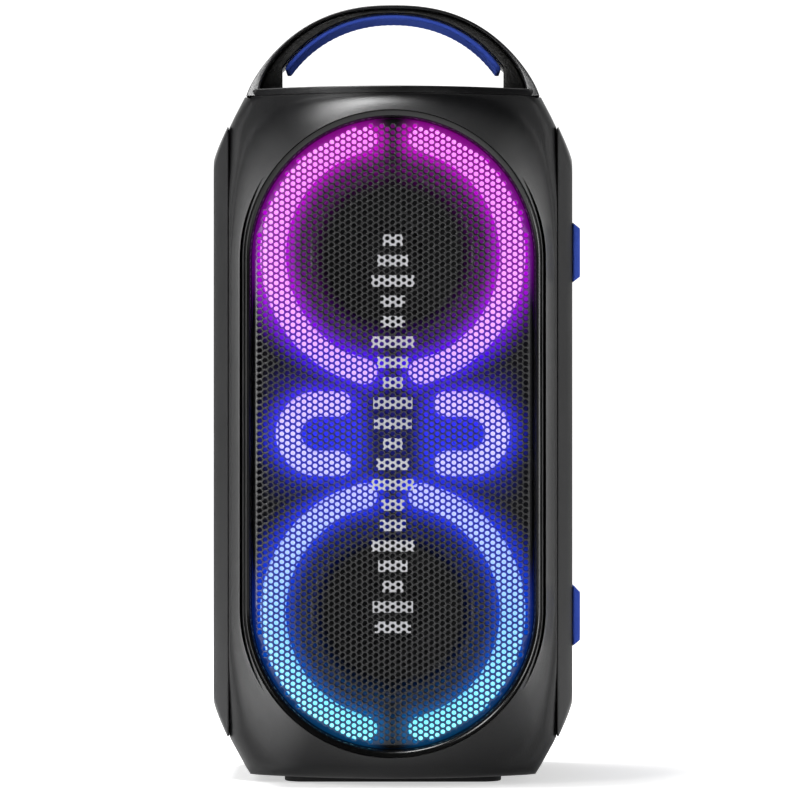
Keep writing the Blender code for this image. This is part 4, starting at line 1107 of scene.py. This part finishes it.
# Matt ABS: a coarser grain that scatters the light
matt_abs = moulded("matt_black_abs", "#0a0a0b", "#141416", 0.55, 0.7 * MM, 0.2)
key_plate = made("control_panel_plate", key_plate, matt_abs)
KEY_STEPS = 48
button_nodes = sorted(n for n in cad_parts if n.startswith("button_") and n != "button_board")
well_profile = [(0, 20), (7.6, 20), (7.6, 12.9), (6.8, 12.5), (6.8, 0), (0, 0)]
wells = []
for node in button_nodes:
    low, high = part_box(node)
    middle = ((low.x + high.x) / 2, (low.y + high.y) / 2, low.z - 5 * MM)
    wells.append(made("well", spun(well_profile, middle, KEY_STEPS, False, False), matt_abs))
drilled(key_plate, wells)
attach(key_plate, "root")
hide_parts("control_panel")

# Silicone rubber: dull black keys, and pale signs let into them
button_rubber = moulded("black_button_rubber", "#0c0c0d", "#19191b", 0.62, 0.5 * MM, 0.12)
pale_rubber = moulded("pale_sign_rubber", "#a9a9ad", "#cfcfd2", 0.55, 0.5 * MM, 0.08)


def sign_bar(x, y, width, height, turn=0.0):
    """A flat bar of a sign, as its four corners in mm."""
    corners = [(u * width / 2, v * height / 2) for u, v in ((-1, -1), (1, -1), (1, 1), (-1, 1))]
    spin = Matrix.Rotation(turn, 2)
    return [Vector((x, y)) + spin @ Vector(c) for c in corners]


def sign_arc(radius, width, start, end, steps=14):
    """A curved band of a sign, as its outline in mm."""
    turns = [start + (end - start) * i / steps for i in range(steps + 1)]
    outside = [Vector((math.cos(t), math.sin(t))) * (radius + width / 2) for t in turns]
    inside = [Vector((math.cos(t), math.sin(t))) * (radius - width / 2) for t in reversed(turns)]
    return outside + inside


ray_turns = [math.tau * i / 8 for i in range(8)]
SIGNS = {
    "button_power": [sign_arc(2.4, 0.55, 2.2, 7.22), sign_bar(0, 2.3, 0.55, 2.4)],
    "button_pairing": [sign_arc(radius, 0.5, -0.8, 0.8) for radius in (1.1, 2.1, 3.1)]
    + [sign_bar(-0.6, 0, 0.8, 0.8)],
    "button_volume_down": [sign_bar(0, 0, 4.0, 0.65)],
    "button_play": [[Vector((-1.4, -2.0)), Vector((2.2, 0)), Vector((-1.4, 2.0))]],
    "button_volume_up": [sign_bar(0, 0, 4.0, 0.65)]
    + [sign_bar(0, y, 0.65, 1.7) for y in (1.22, -1.22)],
    "button_light": [sign_arc(1.0, 0.5, 0, 6.1)]
    + [sign_bar(2.5 * math.cos(t), 2.5 * math.sin(t), 1.2, 0.5, t) for t in ray_turns],
    "button_bass": [sign_bar(x, 0, 0.6, 4.2 - 1.4 * abs(x) / 1.1) for x in (-2.2, -1.1, 0, 1.1, 2.2)],
}
SIGN_RISE = 0.22 * MM
KEY_CLEAR = 1.3  # mm left under each key for its one millimetre of travel
for node in button_nodes:
    low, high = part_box(node)
    middle = Vector(((low.x + high.x) / 2, (low.y + high.y) / 2, low.z))
    tall = (high.z - low.z) / MM
    profile = [(0, tall - 0.35), (3.2, tall - 0.3), (5.0, tall - 0.05), (5.6, tall)]
    profile += [(6.1, tall - 0.2), (6.4, tall - 0.7), (6.5, tall - 1.4), (6.5, KEY_CLEAR), (0, KEY_CLEAR)]
    key = made(node + "_key", spun(profile, middle, KEY_STEPS, False, False), button_rubber)
    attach(key, node)
    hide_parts(node)
    strokes = []
    for outline in SIGNS[node]:
        bm = bmesh.new()
        bm.faces.new([bm.verts.new((p.x * MM, p.y * MM, 0)) for p in outline])
        grown = bmesh.ops.extrude_face_region(bm, geom=bm.faces[:], use_keep_orig=True)["geom"]
        grown = [v for v in grown if isinstance(v, bmesh.types.BMVert)]
        bmesh.ops.translate(bm, vec=(0, 0, SIGN_RISE + 0.2 * MM), verts=grown)
        bmesh.ops.translate(bm, vec=middle + Vector((0, 0, (tall - 0.5) * MM)), verts=bm.verts)
        strokes.append(bm)
    sign = made(node + "_sign", gather(strokes), pale_rubber)
    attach(sign, node)

# ---------------------------------------------------------------- side panels
# A raised ABS cover on each side, clipped on over a narrow shadow gap. Its long faces are flat
# and its edges fall away in one soft chamfer.

FOOT_GAP = 0.6 * MM  # the shadow gap round a panel's foot
CHAMFER_Y = 14 * MM
CHAMFER_Z = 20 * MM


def panel_rings(side):
    near, far = PANEL_LOW.x, PANEL_HIGH.x
    middle_y, middle_z = (PANEL_LOW.y + PANEL_HIGH.y) / 2, (PANEL_LOW.z + PANEL_HIGH.z) / 2
    half_y, half_z = (PANEL_HIGH.y - PANEL_LOW.y) / 2, (PANEL_HIGH.z - PANEL_LOW.z) / 2
    levels = [(near, -1), (near + FOOT_GAP, -1), (near + FOOT_GAP, 0.0)]
    levels += [
        (near + FOOT_GAP + (far - near - FOOT_GAP) * (1 - (1 - f) ** 1.2), f)
        for f in (0.02, 0.15, 0.35, 0.55, 0.75, 0.88, 0.95, 0.98, 1.0)
    ]
    rings = []
    for x, fall in levels:
        inset_y = CHAMFER_Y * fall if fall >= 0 else FOOT_GAP
        inset_z = CHAMFER_Z * fall if fall >= 0 else FOOT_GAP
        radius = (3 + 5 * max(fall, 0)) * MM
        loop = rounded_loop(half_y - inset_y, inset_z - half_z, half_z - inset_z, radius, 6)
        rings.append([(side * x, middle_y + u, middle_z + v) for u, v in loop])
    return rings


for side_name, side in (("right", 1), ("left", -1)):
    panel = skin(panel_rings(side), cap_first=True, cap_last=True)
    panel = made(f"side_panel_{side_name}_cover", panel, cabinet_abs, 50)
    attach(panel, "root")
    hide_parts(f"side_panel_{side_name}")

# ---------------------------------------------------------------- side pads
# Two blue rubber pads on the right side, which it lies on. Pockets moulded into their faces
# leave four ribs that give under load.

POCKET_COUNT = 5
POCKET_PITCH = 5.2 * MM
POCKET_DEPTH = 1.1 * MM
for level in ("lower", "upper"):
    low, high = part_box(f"side_pad_{level}")
    size, middle = high - low, (low + high) / 2
    pad = bmesh.new()
    bmesh.ops.create_cube(pad, size=1.0, matrix=Matrix.Diagonal((*size, 1)))
    face = max(pad.faces, key=lambda f: f.calc_center_median().x)
    for vert in face.verts:
        vert.co.z -= math.copysign(3.6 * MM, vert.co.z)
        vert.co.y -= math.copysign(5.0 * MM, vert.co.y)
    cross = [e for e in pad.edges if abs(e.verts[0].co.z - e.verts[1].co.z) > 20 * MM]
    bmesh.ops.bevel(pad, geom=cross, offset=3.0 * MM, segments=4, profile=0.5, affect="EDGES", material=-1)
    face = max(pad.faces, key=lambda f: (round(f.calc_center_median().x, 5), f.calc_area()))
    bmesh.ops.bevel(
        pad, geom=list(face.edges), offset=1.3 * MM, segments=3, profile=0.5, affect="EDGES", material=-1
    )
    bmesh.ops.translate(pad, vec=middle, verts=pad.verts)
    pad = made(f"side_pad_{level}_rubber", pad, blue_rubber, 40)
    pockets = []
    for i in range(POCKET_COUNT):
        loop = rounded_loop(size.y / 2 - 11 * MM, -1.7 * MM, 1.7 * MM, 1.6 * MM, 5)
        z = middle.z + (i - POCKET_COUNT // 2) * POCKET_PITCH
        ends = (high.x - POCKET_DEPTH, high.x + 3 * MM)
        rings = [[(x, middle.y + u, z + v) for u, v in loop] for x in ends]
        pockets.append(made("pocket", skin(rings, cap_first=True, cap_last=True), blue_rubber))
    drilled(pad, pockets)
    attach(pad, "root")
    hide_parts(f"side_pad_{level}")

# ---------------------------------------------------------------- rear cover
# The deep rear shell: the same ABS and the same outline as the front frame, with a rounded back
# edge, a shallow panel step, and eight screws in counterbores that go through to the front.

BACK_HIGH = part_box("rear_cover")[1]
BACK_ROUND = 12 * MM
BACK_STEP = 0.8 * MM  # depth of the panel step, whose floor the port and the screws are cut into
SCREW_DEPTH = 4.6 * MM
SEAM = 0.3 * MM
back_rings = [skin_ring(1, y=SPLIT_Y + SEAM, inset=0.5 * MM), skin_ring(1, y=SPLIT_Y + SEAM + 0.6 * MM)]
for i in range(9):
    turn = math.pi / 2 * i / 8
    back_y = BACK_HIGH.y - BACK_ROUND * (1 - math.sin(turn))
    back_rings.append(skin_ring(1, y=back_y, inset=BACK_ROUND * (1 - math.cos(turn))))
back_rings += [
    skin_ring(1, y=BACK_HIGH.y, inset=BACK_ROUND + 3 * MM),
    skin_ring(1, y=BACK_HIGH.y - BACK_STEP, inset=BACK_ROUND + 3.8 * MM),
]
rear = made("rear_cover_shell", skin(back_rings, cap_last=True), cabinet_abs)
wall = rear.modifiers.new("wall", "SOLIDIFY")
wall.thickness = WALL
wall.offset = -1.0
PORT_LOW, PORT_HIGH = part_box("bass_port_tube")
BAY_LOW, BAY_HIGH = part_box("socket_bay")
PORT_AT = ((PORT_LOW.x + PORT_HIGH.x) / 2, PORT_HIGH.y, (PORT_LOW.z + PORT_HIGH.z) / 2)
hole_profile = [(0, 10), (25.6, 10), (25.6, -30), (0, -30)]
port_hole = spun(hole_profile, (PORT_AT[0], BACK_HIGH.y, PORT_AT[2]), 64, False)
bay_hole = bmesh.new()
bay_size = BAY_HIGH - BAY_LOW + Vector((0.6 * MM, 20 * MM, 0.6 * MM))
bmesh.ops.create_cube(bay_hole, size=1.0, matrix=Matrix.Diagonal((*bay_size, 1)))
bmesh.ops.translate(bay_hole, vec=(0, BACK_HIGH.y, (BAY_LOW.z + BAY_HIGH.z) / 2), verts=bay_hole.verts)
SCREW_SPOTS = [(side * 74 * MM, z * MM) for side in (-1, 1) for z in (30, 146, 262, 384)]
holes = [made("port_hole", port_hole, cabinet_abs), made("bay_hole", bay_hole, cabinet_abs)]
bore_profile = [(0, -5), (4.0, -5), (4.0, 1.2), (4.4, 2.0), (4.4, 6), (0, 6)]
step_y = BACK_HIGH.y - BACK_STEP
for x, z in SCREW_SPOTS:
    bore = spun(bore_profile, (x, step_y, z), 32, False)
    bore.transform(Matrix.Translation((0, 2 * step_y, 0)) @ Matrix.Diagonal((1, -1, 1, 1)))
    holes.append(made("bore", bore, cabinet_abs))
drilled(rear, holes)
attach(rear, "root")
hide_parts("rear_cover")
seats = [(x, BACK_HIGH.y - SCREW_DEPTH, z) for x, z in SCREW_SPOTS]
rear_screws = [screw_head(seat, (0, 1, 0), 3.2 * MM) for seat in seats]
floors = [spun([(0, 0.4), (4.3, 0.4), (4.3, -0.6), (0, -0.6)], seat, 24, False) for seat in seats]
rear_screws = made("rear_cover_screws", gather(rear_screws), black_zinc)
bosses = made("rear_screw_bosses", gather(floors), matt_abs)
for piece, slot in ((rear_screws, "dark_steel"), (bosses, "cabinet_abs")):
    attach(piece, "root")

# ---------------------------------------------------------------- bass port
# A moulded tube with a flared mouth and a flange that lies on the back.

port_length = (PORT_HIGH.y - PORT_LOW.y) / MM
port = [(22, port_length - 0.5), (22.6, port_length), (24.6, port_length)]
port += [(25, port_length - 0.5), (25, 1.5), (31.2, 1.5), (32, 0.9), (31.6, 0.2), (30.6, 0)]
for i in range(11):
    turn = math.pi / 2 * i / 10
    port.append((22 + 7 * (1 - math.sin(turn)), 9 * (1 - math.cos(turn))))
port = made("bass_port_flare", spun(port, PORT_AT, 72), matt_abs)
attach(port, "root")
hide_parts("bass_port_tube")

# ---------------------------------------------------------------- socket bay, sockets and flap
# Behind a rubber flap a moulded tub holds the sockets: a two-pin mains inlet, a charging outlet,
# an audio jack and a small service socket. The flap swings down on a steel pin.

BAY_Z = (BAY_LOW.z + BAY_HIGH.z) / 2
BAY_FLOOR_Y = 84.0 * MM

bay_tub = bmesh.new()
bay_box = BAY_HIGH - BAY_LOW
bmesh.ops.create_cube(bay_tub, size=1.0, matrix=Matrix.Diagonal((*bay_box, 1)))
bmesh.ops.translate(bay_tub, vec=(BAY_LOW + BAY_HIGH) / 2, verts=bay_tub.verts)
mouth = max(bay_tub.faces, key=lambda f: f.calc_center_median().y)
bmesh.ops.inset_region(bay_tub, faces=[mouth], thickness=2 * MM, use_even_offset=True)
bmesh.ops.translate(bay_tub, vec=(0, BAY_FLOOR_Y - BAY_HIGH.y, 0), verts=mouth.verts)
tub_edges = [e for e in bay_tub.edges if all(v.co.y > BAY_FLOOR_Y - 4 * MM for v in e.verts)]
bmesh.ops.bevel(
    bay_tub, geom=tub_edges, offset=0.6 * MM, segments=2, profile=0.5, affect="EDGES", material=-1
)
tub = made("socket_bay_tub", bay_tub, matt_abs)
# x, half sizes of the block and of its mouth, and the radius of the mouth's corners, in mm
SOCKETS = (
    ("mains_inlet", -36.0, (10.5, 8.0), (6.8, 4.2), 4.0),
    ("charging_outlet", -8.0, (8.5, 5.0), (6.4, 2.6), 0.4),
    ("audio_jack", 14.0, (5.5, 5.5), (2.1, 2.1), 2.0),
    ("service_socket", 35.0, (6.5, 4.0), (4.6, 2.1), 2.0),
)
# x from the socket's middle and half sizes of each contact, in mm
CONTACTS = {
    "mains_inlet": ((-3.4, 1.1, 1.1), (3.4, 1.1, 1.1)),
    "charging_outlet": ((0, 4.6, 0.5),),
    "service_socket": ((0, 3.2, 0.5),),
}
BLOCK_BACK, BLOCK_FACE, BLOCK_FLOOR = 72.8, 86.5, 77.0  # y of a socket block's levels, in mm


def bay_prism(levels, x):
    """A closed shape at x in the bay, drawn through (loop, y in mm) levels."""
    rings = [[(x * MM + u, y * MM, BAY_Z + v) for u, v in loop] for loop, y in levels]
    return skin(rings, cap_first=True, cap_last=True)


cutouts, blocks, contacts = [], [], []
for name, x, (block_x, block_z), (mouth_x, mouth_z), corner in SOCKETS:
    cut_x, cut_z = (block_x + 0.2) * MM, (block_z + 0.2) * MM
    loop = rounded_loop(cut_x, -cut_z, cut_z, 1 * MM, 4)
    cutouts.append(made("cutout", bay_prism(((loop, 75), (loop, 95)), x), matt_abs))
    outer = rounded_loop(block_x * MM, -block_z * MM, block_z * MM, 0.9 * MM, 6)
    inner = rounded_loop(mouth_x * MM, -mouth_z * MM, mouth_z * MM, corner * MM, 6)
    eased = [(0.97 * u, 0.97 * v) for u, v in outer]
    blocks.append(bay_prism((
        (outer, BLOCK_BACK), (outer, BLOCK_FACE - 0.5), (eased, BLOCK_FACE),
        (inner, BLOCK_FACE), (inner, BLOCK_FLOOR),
    ), x))
    for across, half_x, half_z in CONTACTS.get(name, ()):
        loop = rounded_loop(half_x * MM, -half_z * MM, half_z * MM, 0.9 * MM, 4)
        contacts.append(bay_prism(((loop, 76.9), (loop, 85.2)), x + across))
drilled(tub, cutouts)
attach(tub, "root")
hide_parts("socket_bay")
BOARD_LOW, BOARD_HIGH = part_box("socket_board")
BOARD_THICK = 1.6 * MM
board = bmesh.new()
board_size = (BOARD_HIGH.x - BOARD_LOW.x, BOARD_THICK, BOARD_HIGH.z - BOARD_LOW.z, 1)
bmesh.ops.create_cube(board, size=1.0, matrix=Matrix.Diagonal(board_size))
bmesh.ops.translate(board, vec=(0, BOARD_LOW.y + BOARD_THICK / 2, BAY_Z), verts=board.verts)
bmesh.ops.bevel(
    board, geom=board.edges[:], offset=0.3 * MM, segments=1, profile=0.5, affect="EDGES", material=-1
)

# Green solder mask with its copper showing through as faint paths
green_mask, mask_shader = shader_of("green_solder_mask", "#0b3d22", 0.32)
mask_place = add(green_mask, "TexCoord").outputs["Object"]
paths = add(
    green_mask, "TexBrick",
    {"Vector": mask_place, "Scale": 160.0, "Mortar Size": 0.03, "Color1": linear("#0c4025"),
     "Color2": linear("#0a3820"), "Mortar": linear("#1f6b3c")},
)
green_mask.node_tree.links.new(paths.outputs["Color"], mask_shader.inputs["Base Color"])
board = made("socket_board_plate", board, green_mask)
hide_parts("socket_board")
socket_blocks = made("socket_blocks", gather(blocks), matt_abs)
# Nickel plate on brass: bright, with a soft brushed grain along the contacts
nickel, nickel_shader = shader_of("nickel_plate", "#c9c4ba", 0.28, Metallic=1.0)
nickel_place = add(nickel, "TexCoord").outputs["Object"]
nickel_grain = add(nickel, "TexNoise", {"Vector": nickel_place, "Scale": 1500.0, "Detail": 2.0})
nickel_rough = add(nickel, "MapRange", {"Value": nickel_grain.outputs["Fac"], "To Min": 0.2, "To Max": 0.42})
nickel.node_tree.links.new(nickel_rough.outputs[0], nickel_shader.inputs["Roughness"])
contacts = made("socket_contacts", gather(contacts), nickel)
for piece, slot in ((board, "circuit_board"), (socket_blocks, "dark_abs"), (contacts, "dark_steel")):
    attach(piece, "root")

FLAP_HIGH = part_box("port_cover")[1]
FLAP_BACK_Y = 107.3 * MM
HINGE_Y, HINGE_Z = 106.0 * MM, 62.0 * MM
BARREL_R = 1.4 * MM
flap_half_z = (FLAP_HIGH.z - HINGE_Z) / 2
# y and inset of each ring, from the inner face, round the edge, to the groove in the outer face
flap_levels = (
    (104.8 * MM, 0.4 * MM), (105.2 * MM, 0), (FLAP_BACK_Y - 0.5 * MM, 0),
    (FLAP_BACK_Y, 0.5 * MM), (FLAP_BACK_Y, 2.6 * MM), (FLAP_BACK_Y - 0.6 * MM, 3.1 * MM),
)
flap_rings = []
for y, inset in flap_levels:
    loop = rounded_loop(FLAP_HIGH.x - inset, inset - flap_half_z, flap_half_z - inset, 3 * MM, 6)
    flap_rings.append([(u, y, FLAP_HIGH.z - flap_half_z + v) for u, v in loop])
flap = skin(flap_rings, cap_first=True, cap_last=True)
TAB_DROP = 6.0 * MM  # the finger tab sits this far under the flap's top edge
tab_loop = rounded_loop(9 * MM, -1.3 * MM, 1.3 * MM, 1.2 * MM, 5)
tab_rings = []
for y, share in ((FLAP_BACK_Y - 0.8 * MM, 1.0), (FLAP_BACK_Y - 0.1 * MM, 1.0), (FLAP_BACK_Y, 0.9)):
    tab_rings.append([(share * u, y, FLAP_HIGH.z - TAB_DROP + share * v) for u, v in tab_loop])
tab = skin(tab_rings, cap_first=True, cap_last=True)
barrel = bmesh.new()
hinge_line = Matrix.Translation((0, HINGE_Y, HINGE_Z)) @ Matrix.Rotation(math.pi / 2, 4, "Y")
bmesh.ops.create_cone(
    barrel, cap_ends=True, segments=32, radius1=BARREL_R, radius2=BARREL_R,
    depth=2 * FLAP_HIGH.x, matrix=hinge_line,
)
# Moulded rubber: dull, with the same black as the foot
flap_rubber = moulded("black_flap_rubber", "#0b0b0c", "#161618", 0.6, 0.6 * MM, 0.15)
flap = made("port_cover_flap", gather([flap, tab, barrel]), flap_rubber)
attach(flap, "port_cover")
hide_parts("port_cover")
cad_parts["port_cover_pin"].material_slots[0].material = black_zinc

# ---------------------------------------------------------------- foot
# One black rubber foot under the base, with grooves across it for grip.

FOOT_LOW, FOOT_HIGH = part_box("bottom_foot")
foot_y = (FOOT_LOW.y + FOOT_HIGH.y) / 2
foot_levels = (
    (FOOT_HIGH.z, 0.6 * MM), (FOOT_HIGH.z - 0.8 * MM, 0), (0.8 * MM, 0), (0.2 * MM, 0.3 * MM),
    (0.0, 0.9 * MM),
)
foot_rings = []
for z, inset in foot_levels:
    half_y = FOOT_HIGH.y - foot_y - inset
    loop = rounded_loop(FOOT_HIGH.x - inset, -half_y, half_y, 12 * MM, 8)
    foot_rings.append([(u, foot_y + v, z) for u, v in loop])
foot = made("bottom_foot_rubber", skin(foot_rings, cap_first=True, cap_last=True), flap_rubber)
GROOVE_COUNT = 9
GROOVE_PITCH = 12 * MM
groove_size = (110 * MM, 2.4 * MM, 2.4 * MM, 1)
grooves = []
for i in range(GROOVE_COUNT):
    groove = bmesh.new()
    bmesh.ops.create_cube(groove, size=1.0, matrix=Matrix.Diagonal(groove_size))
    place = foot_y + (i - GROOVE_COUNT // 2) * GROOVE_PITCH
    bmesh.ops.translate(groove, vec=(0, place, 0), verts=groove.verts)
    grooves.append(made("groove", groove, flap_rubber))
drilled(foot, grooves)
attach(foot, "root")
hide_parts("bottom_foot")

# ---------------------------------------------------------------- inside the cabinet
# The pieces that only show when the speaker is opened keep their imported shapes. Each gets the
# finish of the real one: ferrite, copper winding, treated cloth, aluminium, shrink film and wire.


def mottled(name, dark, light, roughness, size, relief=0.1, **sockets):
    """A surface with soft blotches of a size in metres and a slight unevenness."""
    mat, shader = shader_of(name, dark, roughness, **sockets)
    place = add(mat, "TexCoord").outputs["Object"]
    blotch = add(mat, "TexNoise", {"Vector": place, "Scale": 1 / size, "Detail": 4.0})
    tone = add(mat, "ValToRGB", {"Fac": blotch.outputs["Fac"]}, ((0.35, dark), (0.68, light)))
    bump = add(mat, "Bump", {"Height": blotch.outputs["Fac"], "Strength": relief, "Distance": 0.2 * size})
    mat.node_tree.links.new(tone.outputs["Color"], shader.inputs["Base Color"])
    mat.node_tree.links.new(bump.outputs["Normal"], shader.inputs["Normal"])
    return mat


# Sintered ferrite: dull grey-black and slightly gritty
ferrite = mottled("sintered_ferrite", "#1c1c1e", "#2b2b2d", 0.6, 1.5 * MM, 0.3)
# Cotton stiffened with resin: amber, with its weave just showing
spider_cloth = mottled("resin_treated_cotton", "#7a5318", "#a87930", 0.85, 0.8 * MM, 0.5)
# Extruded aluminium, natural finish
aluminium = mottled("extruded_aluminium", "#b4b5b8", "#cfd0d2", 0.34, 3 * MM, 0.1, Metallic=1.0)
# Shrink film over the cells: dark blue-grey and glossy
shrink_film = mottled("battery_shrink_film", "#141a26", "#1d2636", 0.25, 6 * MM, 0.15)
# PVC wire sleeve
wire_pvc = mottled("red_pvc_sleeve", "#8d1310", "#ad1d17", 0.4, 2 * MM, 0.1)

# Enamelled copper wire, wound in fine turns
winding, winding_shader = shader_of("enamelled_copper_winding", "#b5622a", 0.3, Metallic=0.9)
winding_place = add(winding, "TexCoord").outputs["Object"]
wire_turns = add(
    winding, "TexWave", {"Vector": winding_place, "Scale": 500.0, "Distortion": 0.3},
    bands_direction="Y",
)
winding_tone = add(
    winding, "ValToRGB", {"Fac": wire_turns.outputs["Fac"]}, ((0.2, "#7a3c14"), (0.8, "#c9763a"))
)
winding.node_tree.links.new(winding_tone.outputs["Color"], winding_shader.inputs["Base Color"])

inside = {
    "amplifier_board": green_mask, "button_board": green_mask, "heat_sink": aluminium,
    "battery_pack": shrink_film, "speaker_lead_upper": wire_pvc, "speaker_lead_lower": wire_pvc,
}
for level in ("upper", "lower"):
    inside |= {
        f"woofer_{level}_magnet": ferrite, f"woofer_{level}_yoke": black_zinc,
        f"woofer_{level}_voice_coil": winding, f"woofer_{level}_spider": spider_cloth,
    }
for node, mat in inside.items():
    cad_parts[node].material_slots[0].material = mat
